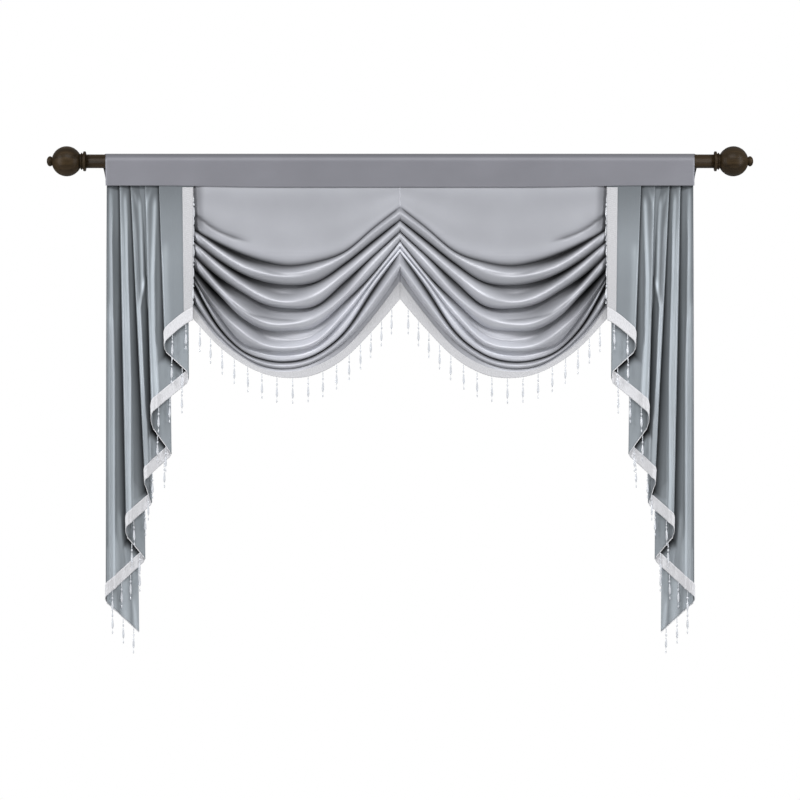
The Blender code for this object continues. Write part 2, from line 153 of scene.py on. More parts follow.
floor_finish, tree, shader = new_material("pale floor")
set_shader(shader, Base_Color=FLOOR_COLOUR, Roughness=0.6)
angles = np.linspace(0.0, math.tau, FLOOR_SIDES, endpoint=False)
rim = np.stack((
    np.cos(angles) * FLOOR_RADIUS, np.sin(angles) * FLOOR_RADIUS, np.full(FLOOR_SIDES, FLOOR_HEIGHT)), 1)
floor_mesh = bpy.data.meshes.new("floor")
floor_mesh.from_pydata(rim.tolist(), [], [list(range(FLOOR_SIDES))])
floor_mesh.materials.append(floor_finish)
floor = bpy.data.objects.new("floor", floor_mesh)
bpy.context.scene.collection.objects.link(floor)

# The pole: a round length of hardwood, 35 mm thick, stained dark brown and varnished. The header's
# pocket hides all of it but the ends, where the finials are screwed on.

MM = 0.001
ROD_RADIUS = 17.5
ROD_LENGTH = 1602.0
ROD_SIDES = 64
ROD_CHAMFER = 0.4
WOOD_DARK = (0.011, 0.0070, 0.0032)
WOOD_LIGHT = (0.045, 0.029, 0.014)


def wood_finish():
    """Stained wood: streaks drawn out along X from stretched noise, over a slow change of tone."""
    made, tree, shader = new_material("dark stained wood")
    at = add_node(tree, "ShaderNodeTexCoord")
    along = add_node(tree, "ShaderNodeMapping", {"Vector": at.outputs["Object"], "Scale": (3.0, 70.0, 70.0)})
    grain = add_node(tree, "ShaderNodeTexNoise", {
        "Vector": along.outputs["Vector"], "Scale": 1.0, "Detail": 5.0, "Roughness": 0.6, "Distortion": 0.4})
    pores = add_node(tree, "ShaderNodeTexNoise", {
        "Vector": along.outputs["Vector"], "Scale": 9.0, "Detail": 2.0})
    tone = add_node(tree, "ShaderNodeValToRGB", {"Fac": grain.outputs["Fac"]})
    between = tuple(np.add(WOOD_DARK, WOOD_LIGHT) / 2)
    set_ramp(tone, ((0.30, WOOD_DARK), (0.55, between), (0.75, WOOD_LIGHT)))
    tree.links.new(tone.outputs["Color"], shader.inputs["Base Color"])
    gloss = add_node(tree, "ShaderNodeMapRange", {
        "Value": grain.outputs["Fac"], "To Min": 0.34, "To Max": 0.50})
    tree.links.new(gloss.outputs["Result"], shader.inputs["Roughness"])
    relief = add_node(tree, "ShaderNodeBump", {
        "Height": pores.outputs["Fac"], "Strength": 0.12, "Distance": 0.0004})
    tree.links.new(relief.outputs["Normal"], shader.inputs["Normal"])
    set_shader(shader, Specular_IOR_Level=0.09, Coat_Weight=0.03, Coat_Roughness=0.3)
    return made


def tube_mesh(name, points):
    """A mesh from points (tubes, rings, sides, 3): each ring joined to the next and both ends closed.

    A step to the next ring, crossed with a step round the ring, has to point outwards.
    """
    tubes, rings, sides = points.shape[:3]
    index = np.arange(tubes * rings * sides).reshape(tubes, rings, sides)
    beside = np.roll(index, -1, axis=2)
    walls = np.stack((index[:, :-1], index[:, 1:], beside[:, 1:], beside[:, :-1]), axis=-1).reshape(-1, 4)
    mesh = bpy.data.meshes.new(name)
    ends = index[:, 0].tolist() + index[:, -1, ::-1].tolist()
    mesh.from_pydata(points.reshape(-1, 3).tolist(), [], walls.tolist() + ends)
    mesh.shade_smooth()
    return mesh


def turned(name, side, along, radii, sides):
    """A turned shape: a circle of each radius round the X axis, at each distance along it."""
    angle = np.linspace(0.0, math.tau, sides, endpoint=False)
    along, radii = np.asarray(along)[:, None], np.asarray(radii)[:, None]
    ring = np.stack(np.broadcast_arrays(
        side * along, radii * np.cos(angle), -side * radii * np.sin(angle)), axis=-1)
    return tube_mesh(name, ring[None] * MM)


def add_piece(name, mesh, finish, slot, *nodes):
    """Links a mesh as a piece that moves with the root body and stands for the named CAD nodes."""
    mesh.materials.append(finish)
    piece = bpy.data.objects.new(name, mesh)
    bpy.context.scene.collection.objects.link(piece)
    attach(piece, "root")
    if nodes:
        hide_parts(*nodes)
    return piece


wood = wood_finish()
half_rod = ROD_LENGTH / 2
pole_mesh = turned(
    "pole", 1, (-half_rod, -half_rod + ROD_CHAMFER, half_rod - ROD_CHAMFER, half_rod),
    (ROD_RADIUS - ROD_CHAMFER, ROD_RADIUS, ROD_RADIUS, ROD_RADIUS - ROD_CHAMFER), ROD_SIDES)
add_piece("pole", pole_mesh, wood, "wood", "rod")

# The finials: a ball turned from the same wood as the pole, with a small button on its end and a
# collar, a cove and two ring beads on its neck. A screw in the collar holds each on the pole's end.

SIDES = (("left", -1), ("right", 1))
FINIAL_GAP = 0.3
FINIAL_SIDES = 72
BALL_RADIUS = 38.4
BALL_AT = 49.0
BALL_FROM, BALL_TO = 151.0, 16.0
BALL_STEPS = 40
GROOVE_AT = 25.5
GROOVE_DEPTH = 0.7
GROOVE_WIDTH = 1.0
BUTTON_REACH = 5.5
BUTTON_RADIUS = 13.1
BUTTON_FLATNESS = 0.65
BUTTON_FROM, BUTTON_TO = 128.0, 3.0
BUTTON_STEPS = 18
# The neck's outline, from the pole's end: (distance along, radius)
NECK = (
    (0.0, 8.0), (0.0, 23.6), (0.4, 24.6), (1.3, 25.3), (3.4, 25.5), (5.4, 25.3), (6.3, 24.6), (6.6, 23.4),
    (6.9, 21.2), (7.6, 20.0), (8.6, 19.5), (9.4, 19.9), (9.8, 21.0), (10.6, 21.9), (11.4, 22.0),
    (12.2, 21.4), (12.7, 20.2), (13.3, 18.9), (14.6, 18.2), (15.9, 18.3))


def finial_outline():
    """The outline as (distances along, radii): the neck, an arc of the ball and an arc of the button.

    A bell curve is taken off the ball's radii, as the groove turned round it near the neck.
    """
    ball = np.radians(np.linspace(BALL_FROM, BALL_TO, BALL_STEPS))
    ball_along = BALL_AT + BALL_RADIUS * np.cos(ball)
    ball_radii = BALL_RADIUS * np.sin(ball)
    groove = GROOVE_DEPTH * np.exp(-(((ball_along - GROOVE_AT) / GROOVE_WIDTH) ** 2))
    root_along = BALL_AT + BALL_RADIUS * math.cos(math.radians(BALL_TO))
    button = np.radians(np.linspace(BUTTON_FROM, BUTTON_TO, BUTTON_STEPS))
    button_along = root_along + BUTTON_REACH + BUTTON_RADIUS * BUTTON_FLATNESS * np.cos(button)
    along = np.concatenate(([point[0] for point in NECK], ball_along, button_along)) + FINIAL_GAP
    radii = np.concatenate((
        [point[1] for point in NECK], ball_radii - groove, BUTTON_RADIUS * np.sin(button)))
    return along, radii


for word, side in SIDES:
    along, radii = finial_outline()
    mesh = turned(f"finial_{word}", side, half_rod + along, radii, FINIAL_SIDES)
    add_piece(f"turned_finial_{word}", mesh, wood, "wood", f"finial_{word}")

# The header band: one loop of plain satin, 1.5 m wide, sewn shut under the pole to make its pocket.
# The front layer hangs a little past the seam as a lip, and hides the tops of the swags and tails.

HEADER_HALF = 750.0
HEADER_CLOTH = 1.5
HEADER_COLUMNS = 160
# How far across the header its columns reach, and where three more lie beside each end
HEADER_INNER = 0.985
HEADER_ENDS = (0.990, 0.994, 1.0)
POCKET_FLARE = 13.0
SEAM_DROP = 60.5
WRAP_RADIUS = 18.55
WRAP_ROWS = 25
# The lip from its loose edge up: (depth, drop, share of the sag)
LIP_EDGE = 66.0
LIP = ((-12.85, LIP_EDGE, 1.0), (-12.95, 64.2, 0.65), (-13.2, 62.0, 0.25))
# The front layer from the seam up, the back layer from the pole down, and the pocket's floor from the
# back forward: (depth, drop)
FRONT_LAYER = ((-13.4, 59.0), (-18.3, 3.0))
FRONT_ROWS = 14
BACK_LAYER = ((18.2, 4.0), (9.7, 58.6))
BACK_ROWS = 10
POCKET_FLOOR = ((8.6, 59.7), (6.0, 59.8), (0.0, 59.8), (-6.0, 59.8), (-12.2, 59.8))
# The lip's edge at the header's ends and along its middle, and how far out it starts to sag
LIP_DROP_END = 62.6
LIP_DROP_MIDDLE = 67.0
SAG_FROM = 640.0
SAG_OVER = 330.0
# The slack of the two layers: (depth, turn for each millimetre across and down, first turn)
RIPPLES = ((0.35, 0.021, 0.0, 0.8), (0.25, 0.047, 0.03, 0.0))
RIPPLE_TO = 60.0
RIPPLE_FADE = 20.0
# Painted shade: how much the header's colour is darkened over the top of the pole's curve, and past the front
# layer's ends where the back layer shows, full from a share of the way back
CROWN_SHADE = 0.3
CROWN_HEIGHT = 12.0
FLARE_SHADE = 0.85
FLARE_FROM = 2.0
FLARE_OVER = 3.0
FLARE_BACK = 0.5
TWILL_ANGLE = 28.0
# Half as light as the swags' satin, which is the same cloth: painted shade over the whole header
HEADER_COLOUR = (0.192, 0.193, 0.216)


def smoothstep(t):
    """0 up to t = 0, 1 from t = 1, and 3t^2 - 2t^3 between."""
    t = np.clip(t, 0.0, 1.0)
    return t * t * (3.0 - 2.0 * t)


def place(side, out, drop, depth):
    """World points in metres from out, drop and depth in millimetres."""
    return np.stack(np.broadcast_arrays(side * out, depth, -drop), axis=-1) * MM


def sheet_mesh(name, points, uv, shade, pull=0.0):
    """A mesh of one quad between each four neighbours of a (rows, columns, 3) grid of points.

    uv (rows, columns, 2) is the place on the flat cloth in metres, and shade (rows, columns) is painted
    shade: the share of open light that a place on the cloth gets, by which the finish darkens its colour.
    pull (rows, columns) is how strongly the folds draw faint lines there.
    """
    rows, columns = points.shape[:2]
    index = np.arange(rows * columns).reshape(rows, columns)
    quads = np.stack((index[:-1, :-1], index[1:, :-1], index[1:, 1:], index[:-1, 1:]), axis=-1).reshape(-1, 4)
    mesh = bpy.data.meshes.new(name)
    mesh.from_pydata(points.reshape(-1, 3).tolist(), [], quads.tolist())
    mesh.shade_smooth()
    layer = mesh.uv_layers.new(name="UVMap")
    layer.data.foreach_set("uv", uv.reshape(-1, 2)[quads.ravel()].astype(np.float32).ravel())
    for key, values in (("shade", shade), ("pull", pull)):
        mesh.attributes.new(key, "FLOAT", "POINT").data.foreach_set(
            "value", np.broadcast_to(values, (rows, columns)).astype(np.float32).ravel())
    return mesh


def length_run(across, down):
    """Length of a line of points up to each of them: the sum of the straight steps."""
    return np.concatenate(([0.0], np.cumsum(np.hypot(np.diff(across), np.diff(down)))))


def thicken(piece, thickness):
    """Gives a sheet its thickness, half to each side."""
    shell = piece.modifiers.new("cloth thickness", "SOLIDIFY")
    shell.thickness = thickness * MM
    shell.offset = 0.0


def colour_with_painted_shade(tree, tone, shader):
    """Gives the shader the tone's colour darkened by the mesh's painted shade, and returns the shade's node.
    """
    shade = add_node(tree, "ShaderNodeAttribute", attribute_name="shade")
    painted_shade_mix = add_node(tree, "ShaderNodeMix", {0: 1.0}, data_type="RGBA", blend_type="MULTIPLY")
    first, second = (socket for socket in painted_shade_mix.inputs if socket.type == "RGBA")
    tree.links.new(tone.outputs["Color"], first)
    tree.links.new(shade.outputs["Fac"], second)
    tree.links.new(
        next(socket for socket in painted_shade_mix.outputs if socket.type == "RGBA"), shader.inputs["Base Color"])
    return shade


def satin_finish(name, colour, roughness, sheen):
    """Satin: fine slanting threads over a slow change of tone, with painted shade darkening its colour and
    its gloss.

    Where there is pull, faint lines run along the UV's first axis, which is the way the folds run.
    """
    made, tree, shader = new_material(name)
    at = add_node(tree, "ShaderNodeTexCoord")
    cloud = add_node(tree, "ShaderNodeTexNoise", {
        "Vector": at.outputs["Object"], "Scale": 7.0, "Detail": 3.0})
    tone = add_node(tree, "ShaderNodeValToRGB", {"Fac": cloud.outputs["Fac"]})
    set_ramp(tone, ((0.3, tuple(np.multiply(colour, 0.95))), (0.7, tuple(np.multiply(colour, 1.05)))))
    shade = colour_with_painted_shade(tree, tone, shader)
    # Painted shade also lowers the specular level where the cloth gets less light
    gloss = add_node(tree, "ShaderNodeMapRange", {
        "Value": shade.outputs["Fac"], "To Min": 0.05, "To Max": 0.5})
    tree.links.new(gloss.outputs["Result"], shader.inputs["Specular IOR Level"])
    turned_uv = add_node(tree, "ShaderNodeMapping", {
        "Vector": at.outputs["UV"], "Rotation": (0.0, 0.0, math.radians(TWILL_ANGLE))})
    twill = add_node(tree, "ShaderNodeTexWave", {
        "Vector": turned_uv.outputs["Vector"], "Scale": 420.0, "Distortion": 1.0, "Detail": 1.0})
    slub = add_node(tree, "ShaderNodeTexNoise", {"Vector": at.outputs["UV"], "Scale": 260.0, "Detail": 3.0})
    threads = add_node(tree, "ShaderNodeMath", {0: twill.outputs["Fac"], 1: slub.outputs["Fac"]})
    weave = add_node(tree, "ShaderNodeBump", {
        "Height": threads.outputs["Value"], "Strength": 0.10, "Distance": 0.0002})
    drawn = add_node(tree, "ShaderNodeMapping", {"Vector": at.outputs["UV"], "Scale": (7.0, 95.0, 1.0)})
    streaks = add_node(tree, "ShaderNodeTexNoise", {
        "Vector": drawn.outputs["Vector"], "Scale": 1.0, "Detail": 2.0, "Roughness": 0.45})
    pull = add_node(tree, "ShaderNodeAttribute", attribute_name="pull")
    relief = add_node(tree, "ShaderNodeBump", {
        "Height": streaks.outputs["Fac"], "Normal": weave.outputs["Normal"],
        "Strength": pull.outputs["Fac"], "Distance": 0.004})
    tree.links.new(relief.outputs["Normal"], shader.inputs["Normal"])
    set_shader(
        shader, Roughness=roughness, Metallic=0.25, Specular_IOR_Level=0.35, Sheen_Weight=sheen,
        Sheen_Roughness=0.45)
    return made


def header_path():
    """The loop's middle line as (depths, drops, lip shares), from the lip's edge round to the seam.

    Up the front, over the pole in a half circle, down the back and forward along the pocket's floor.
    """
    arc = np.radians(np.linspace(180.0, 0.0, WRAP_ROWS))
    lip = np.array(LIP)
    path = np.vstack((
        lip[:, :2], np.linspace(*FRONT_LAYER, FRONT_ROWS),
        WRAP_RADIUS * np.stack((np.cos(arc), -np.sin(arc)), axis=1),
        np.linspace(*BACK_LAYER, BACK_ROWS), POCKET_FLOOR))
    shares = np.zeros(len(path))
    shares[:len(LIP)] = lip[:, 2]
    return path[:, :1], path[:, 1:], shares[:, None]


def header_surface():
    """Points, flat places and shades of the loop's path carried along the pole.

    The path widens towards the back's top, its lip sags by a smooth step towards the middle, and sine waves
    ripple the layers between the pole and the seam. Painted shade darkens it over the top of the pole, and
    most where the back layer shows past the front one.
    """
    depths, drops, lip = header_path()
    inner = np.linspace(-HEADER_INNER, HEADER_INNER, HEADER_COLUMNS)
    across = np.concatenate((-np.array(HEADER_ENDS[::-1]), inner, HEADER_ENDS))[None, :]
    backwards = np.clip(depths / WRAP_RADIUS, 0.0, 1.0)
    upwards = np.clip(1.0 - drops / SEAM_DROP, 0.0, 1.0)
    x = across * (HEADER_HALF + POCKET_FLARE * backwards * upwards)
    sag = LIP_DROP_END + (LIP_DROP_MIDDLE - LIP_DROP_END) * smoothstep((SAG_FROM - np.abs(x)) / SAG_OVER)
    hung = drops + lip * (sag - LIP_EDGE)
    slack = (1.0 - lip) * np.clip(drops / RIPPLE_TO, 0.0, 1.0)
    slack = slack * np.clip((RIPPLE_TO - drops) / RIPPLE_FADE, 0.0, 1.0)
    ripple = sum(deep * np.sin(x * wide + drops * tall + first) for deep, wide, tall, first in RIPPLES)
    points = place(1, x, hung, depths + slack * ripple)
    down = length_run(depths[:, 0], drops[:, 0])
    uv = np.stack(np.broadcast_arrays(x * MM, down[:, None] * MM), axis=-1)
    flared = smoothstep((np.abs(x) - HEADER_HALF + FLARE_FROM) / FLARE_OVER)
    flared = flared * smoothstep(backwards / FLARE_BACK)
    shade = (1.0 - CROWN_SHADE * smoothstep(-hung / CROWN_HEIGHT)) * (1.0 - FLARE_SHADE * flared)
    return points, uv, shade


header_satin = satin_finish("plain header satin", HEADER_COLOUR, 0.55, 0.10)
header = add_piece(
    "header", sheet_mesh("header", *header_surface()), header_satin, "header_satin", "header_band")
thicken(header, HEADER_CLOTH)

# The swags: two lengths of satin, each gathered along both sides so that it falls in curved folds
# between the tail and the centre seam. The top edge is sewn under the header's lip.

SWAG_END = 530.6
CENTRE_GAP = 0.3
SWAG_CLOTH = 1.2
SWAG_COLUMNS = 182
CLOTH_TOP = 60.8
VALLEY_DEPTH = -8.0
TUCK_FROM = 495.0
END_SETBACK = 8.0
END_FLATTENING = 0.4
FOLD_FULLNESS = 0.5
# How uneven the folds' fullness is: (share, millimetres across for each radian, turn at each fold)
UNEVEN = ((0.09, 41.0, 2.1), (0.05, 17.0, 1.3))
PANEL_TOP_DEPTH = -10.2
PANEL_TOP_SETBACK = 5.6
PANEL_BULGE = 11.0
PANEL_HEIGHT = 190.0
BRAID_TOP_DEPTH = -16.0
BRAID_EDGE_DEPTH = -18.0
# The painted light of the cloth where the braid's top edge lies on it
HEM_TOP_LIGHT = 0.9
HEM_INSET = 2.0
SATIN_COLOUR = (0.385, 0.392, 0.425)
# Stations across a swag, from the gathered end to the centre seam
STATIONS = (527, 462, 408, 344, 286, 212, 140, 64, 0)
# Each fold line's drop at the stations
FOLD_LINES = (
    (176, 211, 236, 258, 268, 259, 233, 170, 118),
    (206, 252, 284, 308, 316, 307, 260, 199, 149),
    (240, 295, 330, 365, 375, 367, 306, 237, 178),
    (273, 340, 394, 430, 433, 419, 357, 281, 202),
    (295, 390, 456, 480, 484, 466, 397, 298, 220),
    (308, 420, 477, 505, 510, 490, 433, 320, 232),
    (358, 442, 491, 523, 529, 509, 459, 374, 284),
)
BRAID_TOP = (374, 455, 496, 531, 537, 521, 477, 391, 306)
BRAID_EDGE = (402, 471, 512, 543, 553, 543, 502, 426, 352)
# How shallow each line's valley is at the stations: 0 is full, 1 is level with the fold beside it
LINE_FILL = (
    (0.1, 0.05, 0.0, 0.0, 0.0, 0.0, 0.0, 0.1, 0.2),
    (0.0, 0.0, 0.0, 0.0, 0.0, 0.0, 0.0, 0.0, 0.1),
    (0.0, 0.0, 0.0, 0.0, 0.0, 0.1, 0.1, 0.0, 0.1),
    (0.0, 0.0, 0.2, 0.35, 0.4, 0.4, 0.3, 0.1, 0.1),
    (0.85, 0.9, 0.9, 0.85, 0.85, 0.95, 0.95, 0.9, 0.6),
    (0.1, 0.1, 0.0, 0.0, 0.0, 0.0, 0.0, 0.0, 0.2),
    (0.3, 0.6, 0.7, 0.75, 0.7, 0.8, 0.9, 0.9, 0.8),
)
# How much painted light each line's valley gets at the stations
LINE_LIGHT = (
    (0.00, 0.02, 0.05, 0.10, 0.17, 0.12, 0.06, 0.26, 0.20),
    (0.00, 0.00, 0.08, 0.28, 0.43, 0.30, 0.08, 0.06, 0.10),
    (0.00, 0.05, 0.42, 0.55, 0.80, 0.55, 0.36, 0.04, 0.05),
    (0.00, 0.08, 0.75, 0.58, 0.80, 0.95, 0.80, 0.06, 0.12),
    (0.60, 1.10, 1.10, 0.80, 0.90, 0.85, 0.85, 0.75, 0.50),
    (0.03, 0.01, 0.05, 0.20, 0.25, 0.19, 0.14, 0.16, 0.40),
    (0.10, 1.00, 0.85, 0.65, 0.60, 0.75, 1.00, 1.05, 1.00),
)
# How far up each fold its crest sits at the stations, as a power of the phase: 1 is low on the fold
CREST_POWERS = (
    (3.4, 1.9, 1.35, 1.45, 1.75, 2.45, 3.0, 2.7, 2.0),
    (3.8, 2.2, 1.4, 1.0, 0.85, 1.7, 1.7, 1.6, 1.8),
    (3.0, 1.3, 1.2, 1.0, 1.0, 1.6, 1.1, 2.2, 2.0),
    (0.8, 0.9, 1.45, 0.70, 0.5, 0.6, 0.95, 1.2, 1.5),
    (1.5, 1.3, 1.3, 1.3, 1.3, 1.3, 1.6, 1.8, 1.5),
    (1.5, 1.3, 1.2, 1.2, 1.2, 1.2, 1.4, 1.5, 1.5),
)
# A fold from the crease over it to its own underside: (phase, forward, how open it is to the light, painted
# into its colour)
FOLD_SHAPE = (
    (0.00, 0.00, 0.00), (0.09, 0.01, 0.02), (0.22, 0.08, 0.08), (0.36, 0.26, 0.25), (0.50, 0.56, 0.72),
    (0.62, 0.84, 1.00), (0.75, 1.00, 1.05), (0.87, 0.96, 0.92), (0.955, 0.78, 0.65), (1.00, 0.52, 0.25),
    (0.985, 0.26, 0.00))
# The panel over the first fold line: the same, from the seam
PANEL_SHAPE = (
    (0.00, 0.00, 1.20), (0.04, 0.01, 1.02), (0.20, 0.10, 0.86), (0.40, 0.32, 0.86), (0.60, 0.68, 0.87),
    (0.75, 0.90, 0.91), (0.84, 1.00, 1.03), (0.89, 0.99, 1.10), (0.93, 0.88, 0.94), (0.96, 0.72, 0.55),
    (0.985, 0.50, 0.16), (1.00, 0.25, 0.00))
CREST_PHASE = 0.8
CREST_POWER_LEAST = 0.4
# How much of its turn back the underside over a filled valley loses
UNDERSIDE_FILL = 0.55
# Painted light and shade: how light the crests are painted at the stations, and each fold from the top one
# down: in the middle the lowest folds are painted the lightest, and at the gathered end the fourth is painted
# in the third one's shade
CREST_LIGHT = (0.56, 0.74, 0.84, 0.92, 1.00, 1.00, 1.00, 1.00, 1.00)
FOLD_LIGHT = (0.88, 1.03, 1.07, 1.45, 1.65, 1.05)
MIDDLE_TO = 430.0
MIDDLE_FADE = 120.0
FOLD_END_LIGHT = (1.0, 1.0, 1.0, 0.42, 1.15, 1.15)
END_FROM = 440.0
END_OVER = 60.0
# How late the painted light comes from each valley up to the crest below it: the gathered end's is the
# latest, but for the shaded fold's
LIGHT_RISE = (6.0, 6.0, 3.0, 1.3, 1.1, 1.3, 1.5, 1.5, 1.3)
RISE_SHARE = (1.0, 1.0, 0.8, 0.0, 0.6, 0.8)
# How early it goes again below the crest
LIGHT_FALL = (3.4, 2.2, 1.5, 1.2, 1.1, 1.2, 1.3, 1.3, 1.2)
# Painted light brightens the valleys beside the centre seam, where they run out
CENTRE_LIGHT = 0.5
CENTRE_REACH = 16.0
# Painted shade: the panel is darker in its outer lower corner, and where it tucks in behind the tail
CORNER_SHADE = 0.30
CORNER_OUT = 450.0
CORNER_OUT_OVER = 70.0
CORNER_DROP = 120.0
CORNER_DROP_OVER = 50.0
TUCK_SHADE = 0.45
TUCK_SHADE_OVER = 22.0
# How strongly the folds draw faint lines in the cloth, from a share of the panel's height down
PULL = 0.12
PULL_FROM = 0.8
PULL_OVER = 30.0
# Small creases: rise, width and change of painted light, and the line of each as (out, drop) places
SOFT_CREASES = (
    (-1.8, 6.0, -0.60, ((600, 92), (510, 145), (480, 168), (446, 186), (405, 200), (370, 208))),
    (-2.2, 3.0, -0.35, ((450, 346), (408, 374), (391, 386), (340, 400), (286, 406), (236, 404))),
    (1.5, 4.0, 0.15, ((360, 320), (320, 330), (286, 334), (240, 330), (215, 322))),
    (-1.5, 3.5, -0.2, ((380, 262), (330, 283), (286, 290), (230, 285), (190, 268))),
    (1.2, 4.0, 0.12, ((470, 318), (430, 342), (380, 366), (340, 377))),
    (-1.6, 3.5, -0.25, ((330, 452), (286, 458), (230, 448), (190, 424), (150, 398))),
    (1.4, 4.0, 0.12, ((260, 338), (210, 322), (170, 296), (120, 246))),
)
CREASE_FADE = 60.0
# The left swag's seam allowance, turned in behind the right one's edge, and how far back it lies
SEAM_OUT = (0.1, -0.3, -4.0)
SEAM_BACK = (1.0, 1.7, 1.7)
# How far up under the fold above each crease reaches, as a share of that fold's height
UNDERCUT = 0.10
ROWS_PER_POINT = 3


def curve_through(stations, values, at):
    """Cubic Hermite curve through rows of values, each station's slope being what its neighbours give."""
    order = np.argsort(stations)
    xs = np.asarray(stations, float)[order]
    ys = np.asarray(values, float)[order]
    slopes = np.gradient(ys, xs, axis=0)
    i = np.clip(np.searchsorted(xs, at) - 1, 0, len(xs) - 2)
    wide = (slice(None),) + (None,) * (ys.ndim - 1)
    h = (xs[i + 1] - xs[i])[wide]
    t = (at - xs[i])[wide] / h
    start = (1 + 2 * t) * (1 - t) ** 2 * ys[i] + t * (1 - t) ** 2 * h * slopes[i]
    end = t * t * (3 - 2 * t) * ys[i + 1] + t * t * (t - 1) * h * slopes[i + 1]
    return start + end


def end_share(out):
    """0 over most of the swag, rising to 1 at its gathered end, which tucks behind the tail's edge."""
    return np.clip((out - TUCK_FROM) / (SWAG_END - TUCK_FROM), 0.0, 1.0) ** 2


def soft_creases(out, drops):
    """Rise and change of light by the small creases: each a bell curve across its own line, in drop."""
    rises, lights = np.zeros_like(drops), np.zeros_like(drops)
    for rise, width, light, line in SOFT_CREASES:
        outs, levels = (np.array(column, float) for column in zip(*sorted(line)))
        kept = smoothstep((out - outs[0]) / CREASE_FADE) * smoothstep((outs[-1] - out) / CREASE_FADE)
        bell = kept * np.exp(-(((drops - curve_through(outs, levels, out)) / width) ** 2))
        rises += rise * bell
        lights += light * bell
    return rises, lights


def fold_points(shape, power, top, low, near, far, forward, fill, above, below, rise, fall):
    """Drops, depths and shades of one fold's control points, over all columns.

    Phases run from the crease over the fold to its lower line, raised to the crest's power. Depth goes
    from the near valley to the far one and comes forward by the fold's fullness. Where the lower
    valley is filled, the underside is drawn out so that it no longer turns back under itself. Shade is
    1 where the fold is open and falls to the light of the valley above or below where it is not: the
    higher the power rise or fall, the more of the fold above or below the crest is dark.
    """
    phase, ahead, light = (np.array(column)[:, None] for column in zip(*shape))
    under = smoothstep((phase - CREST_PHASE) / (1 - CREST_PHASE))
    ahead = ahead * (1 - UNDERSIDE_FILL * fill * under)
    valley = np.where(phase < CREST_PHASE, above, below)
    shade = valley + (1 - valley) * light ** np.where(phase < CREST_PHASE, rise, fall)
    phase = np.minimum(phase ** power, 1.0)
    drops = top + (low - top) * phase
    depths = near + (far - near) * phase - forward * ahead
    return drops, depths, shade


def swag_surface(out):
    """Drops, depths and shades of a swag, (rows, columns), from the seam to the hem.

    One curve runs down each column through the panel's and then each fold's control points.
    """
    share = end_share(out)
    lines = curve_through(STATIONS, np.array(FOLD_LINES + (BRAID_TOP,)).T, out).T
    fill = np.clip(curve_through(STATIONS, np.array(LINE_FILL).T, out).T, 0.0, 1.0)
    light = np.clip(curve_through(STATIONS, np.array(LINE_LIGHT).T, out).T, 0.0, None)
    light = light + CENTRE_LIGHT * smoothstep((CENTRE_REACH - out) / CENTRE_REACH)
    powers = np.maximum(curve_through(STATIONS, np.array(CREST_POWERS).T, out).T, CREST_POWER_LEAST)
    crest = curve_through(STATIONS, CREST_LIGHT, out)
    rise = curve_through(STATIONS, LIGHT_RISE, out)
    fall = curve_through(STATIONS, LIGHT_FALL, out)
    order = np.arange(len(lines) - 1)[:, None]
    uneven = 1 + sum(part * np.sin(out / length + turn * order) for part, length, turn in UNEVEN)
    fullness = FOLD_FULLNESS * uneven * (1 - END_FLATTENING * share) * np.diff(lines, axis=0)
    base = VALLEY_DEPTH + END_SETBACK * share
    valleys = base - fill * fullness
    spacing = np.vstack((lines[1] - lines[0], np.diff(lines, axis=0)[:-1]))
    creases = lines[:-1] - UNDERCUT * (1 - fill) * spacing
    panel_top = PANEL_TOP_DEPTH + PANEL_TOP_SETBACK * share
    rows = [fold_points(
        PANEL_SHAPE, 1.0, np.full_like(out, CLOTH_TOP), lines[0], panel_top, valleys[0],
        PANEL_BULGE * (1 - share) * np.clip((lines[0] - CLOTH_TOP) / PANEL_HEIGHT, 0.0, 1.0), fill[0],
        0.0, light[0], 1.0, 1.0)]
    drops, depths, shade = rows[0]
    corner = smoothstep((out - CORNER_OUT) / CORNER_OUT_OVER)
    corner = corner * smoothstep((drops - CORNER_DROP) / CORNER_DROP_OVER)
    tucked = smoothstep((out - TUCK_FROM) / TUCK_SHADE_OVER)
    rows[0] = drops, depths, shade * (1 - CORNER_SHADE * corner - TUCK_SHADE * tucked)
    middle, end = smoothstep((MIDDLE_TO - out) / MIDDLE_FADE), smoothstep((out - END_FROM) / END_OVER)
    for i in range(len(FOLD_LINES) - 1):
        drops, depths, shade = fold_points(
            FOLD_SHAPE, powers[i], creases[i], lines[i + 1], valleys[i], valleys[i + 1], fullness[i],
            fill[i + 1], light[i], light[i + 1], 1 + (rise - 1) * RISE_SHARE[i], fall)
        lit = crest * (1 + (FOLD_LIGHT[i] - 1) * middle) * (1 + (FOLD_END_LIGHT[i] - 1) * end)
        rows.append((drops, depths, shade * lit))
    hem = curve_through(STATIONS, BRAID_EDGE, out) - HEM_INSET
    for drop, depth, shade in (
            (creases[-1], valleys[-1], light[-1]), (lines[-1], BRAID_TOP_DEPTH, HEM_TOP_LIGHT),
            ((hem + lines[-1]) / 2, (BRAID_TOP_DEPTH + BRAID_EDGE_DEPTH) / 2, 1.0),
            (hem, BRAID_EDGE_DEPTH, 1.0)):
        rows.append(tuple(np.broadcast_to(value, (1, len(out))) for value in (drop, depth, shade)))
    drops, depths, shades = (np.vstack(stack) for stack in zip(*rows))
    stations = np.arange(len(drops), dtype=float)
    fine = np.linspace(0.0, len(drops) - 1.0, (len(drops) - 1) * ROWS_PER_POINT + 1)
    drops, depths, shades = (curve_through(stations, table, fine) for table in (drops, depths, shades))
    rises, lights = soft_creases(out, drops)
    return drops, depths - rises * (1 - share), np.clip(shades, 0.0, None) * (1 + lights)


def flat_places(points, across):
    """uv of a draped sheet: across is each column's place, and the other is the length run down it."""
    steps = np.linalg.norm(np.diff(points, axis=0), axis=-1)
    down = np.vstack((np.zeros(points.shape[1]), np.cumsum(steps, axis=0)))
    return np.stack(np.broadcast_arrays(across * MM, down), axis=-1)


